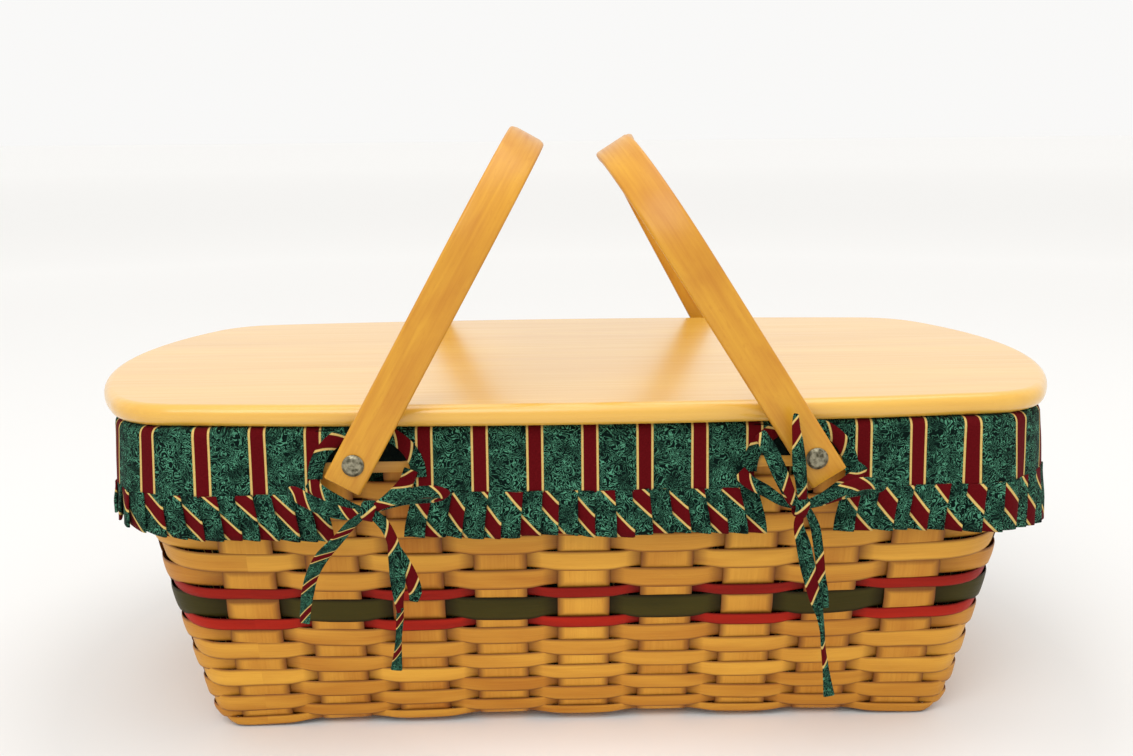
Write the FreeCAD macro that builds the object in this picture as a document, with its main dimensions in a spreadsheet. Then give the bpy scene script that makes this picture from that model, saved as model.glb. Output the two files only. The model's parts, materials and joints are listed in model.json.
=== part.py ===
"""Lidded splint basket with two swing handles and a cloth liner.

Frame: X along the basket, -Y towards the front, +Z up.
Origin: centre of the base, on the surface that the basket stands on.
"""
import FreeCAD, Part
import math
import os
import Sketcher

V = FreeCAD.Vector

# Driving dimensions, in millimetres
SIZES = {
    # Woven wall, measured at the outer face of the stakes
    "base_length": 452.0,
    "base_width": 206.0,
    "end_flare": 44.5,
    "side_flare": 47.0,
    "base_corner": 4.0,
    "corner_gap": 0.5,
    "shoulder_height": 176.0,
    "rim_height": 25.0,
    # Stakes
    "stake_width": 31.0,
    "stake_thickness": 1.6,
    "cross_stake_gap": 14.5,
    "long_stake_gap": 8.5,
    # Weavers
    "weaver_thickness": 2.2,
    "weaver_clearance": 0.2,
    "first_row_height": 1.0,
    "row_gap": 0.4,
    "lower_row_width": 8.2,
    "top_row_gap": 3.8,
    "red_row_width": 6.6,
    "green_row_width": 14.6,
    # Rim bands and their tacks
    "outer_band_thickness": 3.5,
    "inner_band_thickness": 3.4,
    "tack_radius": 0.8,
    "tack_head_radius": 2.0,
    "tack_head_height": 0.6,
    # Liner
    "liner_thickness": 2.0,
    "liner_gap": 3.0,
    "liner_floor_gap": 1.0,
    "liner_base_corner": 10.0,
    "fold_thickness": 1.2,
    "fold_gap": 0.3,
    "skirt_gap": 0.7,
    "skirt_thickness": 1.5,
    "skirt_drop": 38.5,
    "ruffle_drop": 24.5,
    "ruffle_thickness": 2.0,
    "pleat_pitch": 11.0,
    "pleat_depth": 3.0,
    "slit_width": 50.0,
    "binding_width": 3.0,
    "binding_thickness": 2.4,
    # Ties and bows
    "tape_width": 10.0,
    "tape_thickness": 2.0,
    "tie_lap": 4.0,
    "tie_drop": 10.0,
    "bow_gap": 0.2,
    "bow_shift": 6.0,
    "knot_drop": 26.5,
    "knot_width": 15.0,
    "knot_height": 13.0,
    "bow_stand_off": 5.0,
    "bow_depth": 7.0,
    "loop_reach": 38.0,
    "loop_height": 15.0,
    "long_tail": 96.0,
    "short_tail": 64.0,
    "tail_spread": 26.0,
    # Handles
    "pivot_drop": 15.0,
    "strap_width": 22.0,
    "strap_thickness": 6.0,
    "strap_edge": 1.2,
    "lid_strap_gap": 6.0,
    "handle_rise": 200.0,
    "handle_corner": 75.0,
    "foot_length": 14.0,
    "pivot_stake_gap": 2.2,
    "left_crown_reach": 29.3,
    "right_crown_reach": 19.1,
    # Rivets, spacers and burrs
    "rivet_radius": 3.0,
    "rivet_hole_gap": 0.05,
    "rivet_head_radius": 6.0,
    "rivet_head_height": 2.2,
    "rivet_side_gap": 0.2,
    "spacer_radius": 8.0,
    "burr_radius": 6.5,
    "burr_thickness": 1.2,
    "peen_height": 0.8,
    # Lid
    "lid_end_overhang": 31.0,
    "lid_side_overhang": 13.0,
    "lid_thickness": 12.5,
    "lid_side_bow": 15.0,
    "lid_end_bow": 45.0,
    "lid_corner": 51.0,
    "lid_edge": 5.6,
    "lid_seat_gap": 0.3,
    "cleat_spacing": 340.0,
    "cleat_width": 22.0,
    "cleat_height": 8.0,
    "cleat_end_gap": 3.0,
    "cleat_edge": 2.0,
    "screw_radius": 1.75,
    "screw_head_radius": 3.6,
    "screw_head_height": 2.2,
    "screw_bite": 7.0,
    "screw_spacing": 180.0,
    # Cuts run past what they cut by this much
    "overrun": 2.0,
}
CROSS_STAKES = 9
LONG_STAKES = 5
LOWER_ROWS = 8
UPPER_ROWS = 6
STAKES_PER_TACK = 2
# The rivets pass beside the inner edge of the last stake but one, counted from the middle one
STAKES_TO_PIVOT = CROSS_STAKES // 2 - 1

# Sizes that follow from the driving ones: the rim, the stakes' pitches, the handles' span and pivots
RIM_LENGTH = "(dims.base_length + 2 * dims.end_flare)"
RIM_WIDTH = "(dims.base_width + 2 * dims.side_flare)"
CROSS_PITCH = f"((dims.base_length - dims.stake_width - 2 * dims.cross_stake_gap) / {CROSS_STAKES - 1})"
LONG_PITCH = f"((dims.base_width - dims.stake_width - 2 * dims.long_stake_gap) / {LONG_STAKES - 1})"
RIM_CORNER = "(dims.side_flare + dims.long_stake_gap - dims.corner_gap)"
LID_LENGTH = f"({RIM_LENGTH} + 2 * dims.lid_end_overhang)"
LID_WIDTH = f"({RIM_WIDTH} + 2 * dims.lid_side_overhang)"
HANDLE_SPAN = f"({LID_WIDTH} + 2 * dims.lid_strap_gap)"
PIVOT_X = (f"({CROSS_PITCH} * {STAKES_TO_PIVOT} - dims.stake_width / 2 - dims.rivet_radius"
           " - dims.rivet_hole_gap - dims.pivot_stake_gap)")
PIVOT_HEIGHT = "(dims.shoulder_height + dims.rim_height - dims.pivot_drop)"

# Bow outlines: shares of the loop's reach and height, and of a tail's spread and length
LOOP_SHARES = [(0.0, 0.0), (0.45, 0.62), (0.86, 0.5), (1.0, 0.0), (0.84, -0.42), (0.42, -0.4)]
TAIL_SHARES = [(0.0, 0.0), (0.55, 0.22), (0.95, 0.55), (1.0, 1.0)]
# Rivet dome: shares of the head's radius and height
DOME_SHARES = [(1.0, 0.0), (1.0, 0.33), (0.75, 0.8), (0.0, 1.0)]

doc = FreeCAD.newDocument("basket")
sheet = doc.addObject("Spreadsheet::Sheet", "dims")
for row, (alias, value) in enumerate(SIZES.items(), 1):
    sheet.set(f"A{row}", alias)
    sheet.set(f"B{row}", str(value))
    sheet.setAlias(f"B{row}", alias)
doc.recompute()
subparts = []


def size(alias):
    """A driving dimension, read from the sheet."""
    return float(sheet.get(alias))


def worked_out(expression):
    """The value of an expression over the sheet."""
    return float(sheet.evalExpression(expression))


def bind(item, **expressions):
    """Tie properties of an object to the sheet; a double underscore stands for a dot."""
    for name, expression in expressions.items():
        item.setExpression(name.replace("__", "."), expression)


def keep(item, label):
    """Name a finished sub-part."""
    item.Label = label
    subparts.append(item)
    return item


def add_shape(label, shape):
    """A sub-part whose shape is worked out from the sheet."""
    item = doc.addObject("Part::Feature", label)
    item.Shape = shape
    return keep(item, label)


def joined(shapes):
    """One solid out of several that overlap."""
    first, *others = shapes
    return first.fuse(others).removeSplitter()


# Levels and offsets that several pieces share
rim_top = size("shoulder_height") + size("rim_height")
fold_low = rim_top + size("fold_gap")
fold_top = fold_low + size("fold_thickness")
lid_low = fold_top + size("lid_seat_gap")
skirt_low = fold_low - size("skirt_drop")
ruffle_low = skirt_low - size("ruffle_drop")
skirt_in = size("outer_band_thickness") + size("skirt_gap")
skirt_out = skirt_in + size("skirt_thickness")
ruffle_out = skirt_out + size("ruffle_thickness")
band_back = -size("stake_thickness") - size("inner_band_thickness")
liner_out = band_back - size("liner_gap")
liner_in = liner_out - size("liner_thickness")
rim_half_length = worked_out(RIM_LENGTH) / 2
rim_half_width = worked_out(RIM_WIDTH) / 2
rim_corner = worked_out(RIM_CORNER)
pivot_x = worked_out(PIVOT_X)
pivot_height = worked_out(PIVOT_HEIGHT)
strap_face = worked_out(HANDLE_SPAN) / 2
strap_back = strap_face + size("strap_thickness")


def wall_plan(height):
    """Half length, half width and corner radius of the wall at a height."""
    share = min(height / size("shoulder_height"), 1.0)
    half_length = size("base_length") / 2 + size("end_flare") * share
    half_width = size("base_width") / 2 + size("side_flare") * share
    corner = size("base_corner") + (rim_corner - size("base_corner")) * share
    return half_length, half_width, corner


def rounded_wire(half_length, half_width, corner, height):
    """Rounded rectangle at a height."""
    x, y, r = half_length, half_width, corner
    mid = r * math.cos(math.pi / 4)
    edges = []
    for sx, sy in ((1, -1), (1, 1), (-1, 1), (-1, -1)):
        centre = V(sx * (x - r), sy * (y - r), height)
        along_x = V(sx * x, sy * (y - r), height)
        along_y = V(sx * (x - r), sy * y, height)
        middle = centre + V(sx * mid, sy * mid, 0)
        ends = (along_y, along_x) if sx * sy < 0 else (along_x, along_y)
        edges.append(Part.Arc(ends[0], middle, ends[1]).toShape())
    corners = list(edges)
    for one, other in zip(corners, corners[1:] + corners[:1]):
        edges.append(Part.makeLine(one.Vertexes[-1].Point, other.Vertexes[0].Point))
    return Part.Wire(Part.__sortEdges__(edges))


def wall_wire(height, offset):
    """The wall's plan at a height, moved outwards by an offset."""
    half_length, half_width, corner = wall_plan(height)
    corner = max(corner + offset, size("base_corner"))
    return rounded_wire(half_length + offset, half_width + offset, corner, height)


def wall_band(low, high, inside, outside):
    """A closed band round the wall, between two heights and two offsets."""
    outer = Part.makeLoft([wall_wire(low, outside), wall_wire(high, outside)], True, True)
    inner = Part.makeLoft([wall_wire(low, inside), wall_wire(high, inside)], True, True)
    return outer.cut(inner)


def rim_ring(low, high, inside, outside):
    """An upright ring round the rim, between two heights and two offsets."""
    faces = []
    for offset in (outside, inside):
        wire = rounded_wire(rim_half_length + offset, rim_half_width + offset,
                            rim_corner + offset, low)
        faces.append(Part.Face(wire))
    return faces[0].cut(faces[1]).extrude(V(0, 0, high - low))


def block(x, y, z):
    """A box from its lowest and highest coordinate along each axis."""
    return Part.makeBox(x[1] - x[0], y[1] - y[0], z[1] - z[0], V(x[0], y[0], z[0]))


def turned(profile):
    """Revolve a closed profile of (radius, along) points about Y, along pointing to the front."""
    points = [V(radius, -along, 0) for radius, along in profile]
    face = Part.Face(Part.makePolygon(points + points[:1]))
    return face.revolve(V(0, 0, 0), V(0, 1, 0), 360)


def at_pivots(shape):
    """Copies of a front pivot's shape, modelled about X = 0, at all four pivots."""
    copies = []
    for side in (-1, 1):
        for turn in (0, 180):
            copy = shape.copy()
            copy.translate(V(0, 0, pivot_height))
            copy.rotate(V(0, 0, 0), V(0, 0, 1), turn)
            copy.translate(V(side * pivot_x, 0, 0))
            copies.append(copy)
    return copies


def plane_of(body, role):
    """One of a body's own origin planes."""
    return next(item for item in body.Origin.OriginFeatures if item.Role == role)


def arc_middle(start, end, radius, turn):
    """Middle point of the short arc between two points; turn is 1 for one that bends left."""
    chord = end - start
    left = V(-chord.y, chord.x, 0).normalize()
    reach = math.sqrt(radius ** 2 - chord.Length ** 2 / 4)
    return (start + end) / 2 + left * turn * (reach - radius)


def outline_sketch(body, role, corners, rounds):
    """A closed outline on an origin plane, each corner tied to a pair of expressions.

    rounds gives the radius and the turn of each side that is an arc, by the side's number.
    """
    sketch = body.newObject("Sketcher::SketchObject", body.Name + "_outline")
    sketch.AttachmentSupport = [(plane_of(body, role), "")]
    sketch.MapMode = "FlatFace"
    places = []
    for pair in corners:
        places.append(V(*[worked_out(text) for text in pair], 0))
    ends = []
    for side, (start, end) in enumerate(zip(places, places[1:] + places[:1])):
        radius, turn = rounds.get(side, ("0", 0))
        ends.append((2, 1) if turn < 0 else (1, 2))
        if turn == 0:
            sketch.addGeometry(Part.LineSegment(start, end))
            continue
        middle = arc_middle(start, end, worked_out(radius), turn)
        first, last = (end, start) if turn < 0 else (start, end)
        sketch.addGeometry(Part.Arc(first, middle, last))
    for side, pair in enumerate(corners):
        before = side - 1 if side else len(corners) - 1
        sketch.addConstraint(Sketcher.Constraint("Coincident", before, ends[before][1], side, ends[side][0]))
        for kind, text, place in zip(("DistanceX", "DistanceY"), pair, places[side]):
            tie = Sketcher.Constraint(kind, -1, 1, side, ends[side][0], place)
            sketch.setExpression(f"Constraints[{sketch.addConstraint(tie)}]", text)
    for side, (radius, turn) in rounds.items():
        tie = Sketcher.Constraint("Radius", side, sketch.Geometry[side].Radius)
        sketch.setExpression(f"Constraints[{sketch.addConstraint(tie)}]", radius)
    return sketch


def new_body(label):
    """An empty body for one sub-part."""
    return keep(doc.addObject("PartDesign::Body", label), label)


def edges_where(feature, test):
    """Names of a feature's edges that pass a test."""
    return [f"Edge{n}" for n, edge in enumerate(feature.Shape.Edges, 1) if test(edge)]


def round_edges(body, base, name, test, radius):
    """Fillet the edges of a feature that pass a test."""
    doc.recompute()
    fillet = body.newObject("PartDesign::Fillet", name)
    fillet.Base = (base, edges_where(base, test))
    bind(fillet, Radius=radius)
    doc.recompute()
    return fillet


def runs_along(edge, axis):
    """Whether an edge is straight and parallel to an axis."""
    if edge.Curve.TypeId != "Part::GeomLine":
        return False
    return edge.tangentAt(edge.FirstParameter).cross(axis).Length < Part.Precision.angular()


# Stakes
def make_stake(label, base, flare, width_at, along, level, role):
    """A flat strip: up one wall, under the base and up the other wall."""
    slope = f"(dims.{flare} / dims.shoulder_height)"
    inset = "dims.stake_thickness"
    floor = f"(dims.stake_thickness * {level})"
    top = "(dims.shoulder_height + dims.rim_height)"
    foot = f"(dims.{base} / 2 + {slope} * {floor})"
    inner_foot = f"({foot} + {slope} * {inset} - {inset})"
    rim = f"(dims.{base} / 2 + dims.{flare})"
    half = [(foot, floor), (rim, "dims.shoulder_height"), (rim, top)]
    inner = [(f"({rim} - {inset})", top), (f"({rim} - {inset})", "dims.shoulder_height"),
             (inner_foot, f"({floor} + {inset})")]
    right = half + inner
    left = [(f"-{x}", z) for x, z in reversed(right)]
    body = new_body(label)
    pad = body.newObject("PartDesign::Pad", label + "_strip")
    pad.Profile = outline_sketch(body, role, right + left, {})
    pad.Midplane = True
    bind(pad, Length="dims.stake_width")
    bind(body, **{f"Placement__Base__{along}": width_at})


def make_stakes():
    for number in range(CROSS_STAKES):
        place = f"{CROSS_PITCH} * {number - CROSS_STAKES // 2}"
        make_stake(f"cross_stake_{number + 1}", "base_width", "side_flare", place, "x", 0, "YZ_Plane")
    for number in range(LONG_STAKES):
        place = f"{LONG_PITCH} * {number - LONG_STAKES // 2}"
        make_stake(f"long_stake_{number + 1}", "base_length", "end_flare", place, "y", 1, "XZ_Plane")


# Weavers, from the base up
def weaver_rows():
    """Name and width of each row; the upper rows share the height that is left under the rim."""
    rows = [(f"weaver_{n + 1:02d}", size("lower_row_width")) for n in range(LOWER_ROWS)]
    rows += [("weaver_red_lower", size("red_row_width")), ("weaver_green", size("green_row_width")),
             ("weaver_red_upper", size("red_row_width"))]
    used = size("first_row_height") + sum(width + size("row_gap") for label, width in rows)
    left = size("shoulder_height") - size("top_row_gap") - used + size("row_gap")
    upper = left / UPPER_ROWS - size("row_gap")
    rows += [(f"weaver_{n + LOWER_ROWS + 1:02d}", upper) for n in range(UPPER_ROWS)]
    return rows


def make_weavers():
    low = size("first_row_height")
    inside = size("weaver_clearance")
    outside = inside + size("weaver_thickness")
    for label, width in weaver_rows():
        high = low + width
        add_shape(label, wall_band(low, high, inside, outside))
        low = high + size("row_gap")


# Rim
def make_rim_band(label, inside, outside):
    """An upright band with a hole at each rivet."""
    hole_radius = size("rivet_radius") + size("rivet_hole_gap")
    reach = rim_half_width + size("outer_band_thickness") + size("overrun")
    band = rim_ring(size("shoulder_height"), rim_top, inside, outside)
    for side in (-1, 1):
        start = V(side * pivot_x, -reach, pivot_height)
        band = band.cut(Part.makeCylinder(hole_radius, 2 * reach, start, V(0, 1, 0)))
    add_shape(label, band)


def make_tacks():
    """Tacks through both bands at every second stake of the long sides, and at the end stakes."""
    face = size("outer_band_thickness")
    radius, head = size("tack_radius"), size("tack_head_radius")
    profile = [(0, band_back), (radius, band_back), (radius, face), (head, face)]
    profile += [(0, face + size("tack_head_height"))]
    tack = turned(profile)
    height = size("shoulder_height") + size("rim_height") / 2
    tacks = []
    for turn, half, pitch, count in ((0, rim_half_width, CROSS_PITCH, CROSS_STAKES),
                                     (90, rim_half_length, LONG_PITCH, LONG_STAKES)):
        for number in range(0, count, STAKES_PER_TACK):
            for side in (0, 180):
                copy = tack.copy()
                copy.translate(V(worked_out(pitch) * (number - count // 2), -half, height))
                copy.rotate(V(0, 0, 0), V(0, 0, 1), turn + side)
                tacks.append(copy)
    add_shape("rim_tacks", Part.makeCompound(tacks))


def make_rim():
    make_rim_band("outer_rim_band", 0, size("outer_band_thickness"))
    make_rim_band("inner_rim_band", band_back, -size("stake_thickness"))
    make_tacks()


# Liner
def tub(offset, floor):
    """A solid that fills the basket from a floor up, at an offset from the wall."""
    shoulder = size("shoulder_height")
    wires = []
    for height in (floor, shoulder, fold_top):
        half_length, half_width, corner = wall_plan(height)
        corner = max(corner + offset, size("liner_base_corner"))
        wires.append(rounded_wire(half_length + offset, half_width + offset, corner, height))
    return Part.makeLoft(wires, True, True)


def make_liner_bag():
    """The bag inside the basket, with the fold that lies over the rim."""
    floor = 2 * size("stake_thickness") + size("liner_floor_gap")
    bag = tub(liner_out, floor).cut(tub(liner_in, floor + size("liner_thickness")))
    fold = rim_ring(fold_low, fold_top, liner_in, skirt_out)
    add_shape("liner_bag", joined([bag, fold]))


def panel_limits():
    """Name and X and Y limits of each skirt panel."""
    slit = size("slit_width") / 2
    inner, outer = pivot_x - slit, pivot_x + slit
    far_x, far_y = 2 * rim_half_length, 2 * rim_half_width
    return [("front", (-inner, inner), (-far_y, 0)), ("back", (-inner, inner), (0, far_y)),
            ("left", (-far_x, -outer), (-far_y, far_y)), ("right", (outer, far_x), (-far_y, far_y))]


def make_skirts():
    ring = rim_ring(skirt_low, fold_low, skirt_in, skirt_out)
    for name, x, y in panel_limits():
        panel = ring.common(block(x, y, (skirt_low, fold_low)))
        add_shape(f"{name}_skirt", panel)


def rim_point(run, offset):
    """Point at a run along the rim's plan, from the middle of the front to the right.

    offset moves the point outwards.
    """
    r = rim_corner
    flat_x, flat_y, quarter = rim_half_length - r, rim_half_width - r, math.pi * r / 2
    half = 2 * (flat_x + flat_y + quarter)
    turns, run = divmod(run, half)
    if run > half - flat_x:
        turns, run = turns + 1, run - half
    if run < flat_x:
        point, out = V(run, -rim_half_width, 0), V(0, -1, 0)
    elif run < flat_x + quarter:
        angle = (run - flat_x) / r
        out = V(math.sin(angle), -math.cos(angle), 0)
        point = V(flat_x, -flat_y, 0) + out * r
    elif run < flat_x + quarter + 2 * flat_y:
        point, out = V(rim_half_length, run - flat_x - quarter - flat_y, 0), V(1, 0, 0)
    else:
        angle = (run - flat_x - quarter - 2 * flat_y) / r
        out = V(math.cos(angle), math.sin(angle), 0)
        point = V(flat_x, flat_y, 0) + out * r
    turn = FreeCAD.Rotation(V(0, 0, 1), 180 * turns)
    return turn.multVec(point + out * offset)


def make_ruffles():
    """Knife pleats under each panel: each pleat swells from one edge and drops at the next."""
    half = 2 * (rim_half_length + rim_half_width - 2 * rim_corner) + math.pi * rim_corner
    slit = size("slit_width") / 2
    inner, outer = pivot_x - slit, pivot_x + slit
    runs = [("front", -inner, inner), ("right", outer, half - outer),
            ("back", half - inner, half + inner), ("left", half + outer, 2 * half - outer)]
    for name, start, end in runs:
        count = round((end - start) / size("pleat_pitch"))
        step = (end - start) / count
        outline = []
        for number in range(count):
            outline.append(rim_point(start + step * number, ruffle_out))
            outline.append(rim_point(start + step * (number + 1), ruffle_out + size("pleat_depth")))
        back = [rim_point(start + step * number, skirt_in) for number in range(count, -1, -1)]
        points = outline + back
        face = Part.Face(Part.makePolygon(points + points[:1]))
        face.translate(V(0, 0, ruffle_low))
        add_shape(f"{name}_ruffle", face.extrude(V(0, 0, size("ruffle_drop"))))


def slit_names():
    """Name, side along X and turn of each handle slit."""
    return [("front_left", -1, 0), ("front_right", 1, 0), ("back_right", -1, 180), ("back_left", 1, 180)]


def at_slit(shape, side, turn):
    """Move a shape modelled for a front slit at X = 0 to its slit."""
    moved = shape.copy() if side < 0 else shape.mirror(V(0, 0, 0), V(1, 0, 0))
    moved.translate(V(side * pivot_x, 0, 0))
    moved.rotate(V(0, 0, 0), V(0, 0, 1), turn)
    return moved


def make_bindings():
    """Binding along the two sides and the top of each slit."""
    half, width = size("slit_width") / 2, size("binding_width")
    near = -rim_half_width - skirt_in
    depth = (near - size("binding_thickness"), near)
    arch = block((-half, half), depth, (skirt_low, fold_low))
    arch = arch.cut(block((width - half, half - width), depth, (skirt_low, fold_low - width)))
    for name, side, turn in slit_names():
        add_shape(f"{name}_binding", at_slit(arch, side, turn))


# Bows
def tape(points, depth):
    """A flat tape along points (x, z), with square ends, between two depths along Y."""
    half = size("tape_width") / 2
    pieces = []
    for (x0, z0), (x1, z1) in zip(points, points[1:]):
        run = V(x1 - x0, 0, z1 - z0)
        side = run.cross(V(0, 1, 0)).normalize() * half
        start, end = V(x0, depth[0], z0), V(x1, depth[0], z1)
        corners = [start + side, end + side, end - side, start - side]
        face = Part.Face(Part.makePolygon(corners + corners[:1]))
        pieces.append(face.extrude(V(0, depth[1] - depth[0], 0)))
        pieces.append(Part.makeCylinder(half, depth[1] - depth[0], start, V(0, 1, 0)))
    return pieces


def bow_shape():
    """Two ties from the slit's edges to a knot, two loops and two tails."""
    thickness = size("tape_thickness")
    knot_x, knot_z = size("bow_shift"), pivot_height - size("knot_drop")
    sewn_face = -rim_half_width - skirt_in - size("binding_thickness") - size("bow_gap")
    tie = (sewn_face - thickness, sewn_face)
    front = -strap_back - size("bow_stand_off")
    loops = (front - size("bow_depth"), front)
    tails = (front - thickness, front)
    half_width, half_height = size("knot_width") / 2, size("knot_height") / 2
    pieces = [block((knot_x - half_width, knot_x + half_width), (loops[0], tie[1]),
                    (knot_z - half_height, knot_z + half_height))]
    for side, tail in ((-1, "short_tail"), (1, "long_tail")):
        edge = side * (size("slit_width") / 2 + size("tie_lap"))
        sewn = pivot_height - size("tie_drop")
        pieces += tape([(edge, sewn), (knot_x, knot_z)], tie)
        loop = []
        for along, up in LOOP_SHARES:
            loop.append(V(knot_x + side * along * size("loop_reach"), loops[0],
                          knot_z + up * size("loop_height")))
        face = Part.Face(Part.makePolygon(loop + loop[:1]))
        pieces.append(face.extrude(V(0, loops[1] - loops[0], 0)))
        hang = []
        for along, down in TAIL_SHARES:
            hang.append((knot_x + side * along * size("tail_spread"), knot_z - down * size(tail)))
        pieces += tape(hang, tails)
    return joined(pieces)


def make_bows():
    bow = bow_shape()
    for name, side, turn in slit_names():
        add_shape(f"{name}_bow", at_slit(bow, side, turn))


# Handles
def make_handle(label, side, reach):
    """A bent strap: two legs, a crown with rounded shoulders, and a hole at each foot.

    It leans inwards until the top of its crown is at its reach from the middle of the basket.
    """
    body = new_body(label)
    lean = f"asin(({PIVOT_X} - dims.{reach}) / dims.handle_rise)"
    inside = f"({HANDLE_SPAN} / 2)"
    outside = f"({inside} + dims.strap_thickness)"
    bend = f"({outside} - dims.handle_corner)"
    foot, crown = "-dims.foot_length", "dims.handle_rise"
    spring = "(dims.handle_rise - dims.handle_corner)"
    under_crown = "(dims.handle_rise - dims.strap_thickness)"
    corners = [(outside, foot), (outside, spring), (bend, crown), (f"-{bend}", crown),
               (f"-{outside}", spring), (f"-{outside}", foot), (f"-{inside}", foot),
               (f"-{inside}", spring), (f"-{bend}", under_crown), (bend, under_crown),
               (inside, spring), (inside, foot)]
    wide, tight = "dims.handle_corner", "(dims.handle_corner - dims.strap_thickness)"
    rounds = {1: (wide, 1), 3: (wide, 1), 7: (tight, -1), 9: (tight, -1)}
    pad = body.newObject("PartDesign::Pad", label + "_strap")
    pad.Profile = outline_sketch(body, "YZ_Plane", corners, rounds)
    pad.Midplane = True
    bind(pad, Length="dims.strap_width")
    across = V(1, 0, 0)
    round_edges(body, pad, label + "_edges", lambda edge: not runs_along(edge, across), "dims.strap_edge")
    hole = body.newObject("PartDesign::SubtractiveCylinder", label + "_holes")
    hole.Placement.Rotation = FreeCAD.Rotation(across, 90)
    bind(hole, Radius="dims.rivet_radius + dims.rivet_hole_gap",
         Height=f"2 * {outside} + 2 * dims.overrun", Placement__Base__y=f"{outside} + dims.overrun")
    doc.recompute()
    body.Placement.Rotation = FreeCAD.Rotation(V(0, 1, 0), worked_out(lean))
    bind(body, Placement__Base__x=f"{side} * {PIVOT_X}", Placement__Base__z=PIVOT_HEIGHT,
         Placement__Rotation__Angle=f"{-side} * {lean}")


def make_pivots():
    """Rivets with a domed head, spacers that hold the strap off the rim, and burrs inside."""
    shank, head = size("rivet_radius"), size("rivet_head_radius")
    under_head = strap_back + size("rivet_side_gap")
    inside = rim_half_width + band_back
    burr_back = inside - size("burr_thickness")
    end = burr_back - size("peen_height")
    rise = size("rivet_head_height")
    profile = [(0, end), (shank, end), (shank, under_head)]
    for across, up in DOME_SHARES:
        profile.append((head * across, under_head + rise * up))
    add_shape("pivot_rivets", Part.makeCompound(at_pivots(turned(profile))))
    bore = shank + size("rivet_hole_gap")
    rim_face = rim_half_width + size("outer_band_thickness")
    washers = (("rivet_spacers", rim_face, strap_face - size("rivet_side_gap"), "spacer_radius"),
               ("rivet_burrs", burr_back, inside, "burr_radius"))
    for label, low, high, radius in washers:
        ring = [(bore, low), (size(radius), low), (size(radius), high), (bore, high)]
        add_shape(label, Part.makeCompound(at_pivots(turned(ring))))


# Lid
def make_lid_board():
    """A board with slightly bowed sides and ends, round corners and a rounded edge."""
    body = new_body("lid_board")
    x = f"({LID_LENGTH} / 2 - dims.lid_end_bow)"
    y = f"({LID_WIDTH} / 2 - dims.lid_side_bow)"
    side_radius = f"({x}^2 + dims.lid_side_bow^2) / (2 * dims.lid_side_bow)"
    end_radius = f"({y}^2 + dims.lid_end_bow^2) / (2 * dims.lid_end_bow)"
    corners = [(f"-{x}", f"-{y}"), (x, f"-{y}"), (x, y), (f"-{x}", y)]
    rounds = {side: (end_radius if side % 2 else side_radius, 1) for side in range(4)}
    pad = body.newObject("PartDesign::Pad", "lid_thick")
    pad.Profile = outline_sketch(body, "XY_Plane", corners, rounds)
    bind(pad, Length="dims.lid_thickness")
    upright = V(0, 0, 1)
    rounded = round_edges(body, pad, "lid_corners", lambda edge: runs_along(edge, upright),
                          "dims.lid_corner")
    round_edges(body, rounded, "lid_edges", lambda edge: not runs_along(edge, upright), "dims.lid_edge")
    bind(body, Placement__Base__z="dims.shoulder_height + dims.rim_height + dims.fold_gap"
         " + dims.fold_thickness + dims.lid_seat_gap")


def make_cleats():
    """Two bars under the lid, just inside the liner, and their screws."""
    half = rim_half_width + liner_in - size("cleat_end_gap")
    width, height = size("cleat_width"), size("cleat_height")
    low = lid_low - height
    screws = []
    shank, head = size("screw_radius"), size("screw_head_radius")
    for name, side in (("left", -1), ("right", 1)):
        x = side * size("cleat_spacing") / 2
        bar = block((x - width / 2, x + width / 2), (-half, half), (low, lid_low))
        lower = [edge for edge in bar.Edges if abs(edge.CenterOfMass.z - low) < Part.Precision.confusion()]
        add_shape(f"{name}_lid_cleat", bar.makeChamfer(size("cleat_edge"), lower))
        for end in (-1, 1):
            profile = [(0, 0), (head, 0), (shank, size("screw_head_height")),
                       (shank, height + size("screw_bite")), (0, height + size("screw_bite") + shank)]
            screw = turned(profile)
            screw.rotate(V(0, 0, 0), V(1, 0, 0), -90)
            screw.translate(V(x, end * size("screw_spacing") / 2, low))
            screws.append(screw)
    add_shape("lid_screws", Part.makeCompound(screws))


make_stakes()
make_weavers()
make_rim()
make_liner_bag()
make_skirts()
make_ruffles()
make_bindings()
make_bows()
make_handle("left_handle_strap", -1, "left_crown_reach")
make_handle("right_handle_strap", 1, "right_crown_reach")
make_pivots()
make_lid_board()
make_cleats()
doc.recompute()

for item in doc.Objects:
    if "Invalid" in item.State or "Error" in item.State:
        raise RuntimeError(f"{item.Label} failed: {item.State}")
for item in subparts:
    if item.Shape.isNull() or not item.Shape.isValid():
        raise RuntimeError(f"{item.Label} has no valid shape")

os.makedirs("parts", exist_ok=True)
for item in subparts:
    item.Shape.exportStep(f"parts/{item.Label}.step")
print(len(subparts), "sub-parts written")
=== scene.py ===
"""Looks of a splint basket with a lift-off lid, two swing handles and a cloth skirt tied under the handles.

Sizes are in millimetres unless a comment says otherwise. Meshes are written in metres. The front is at -Y.
"""
import json
import math

import bmesh
import bpy
import numpy as np
from mathutils import Matrix, Vector


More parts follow.
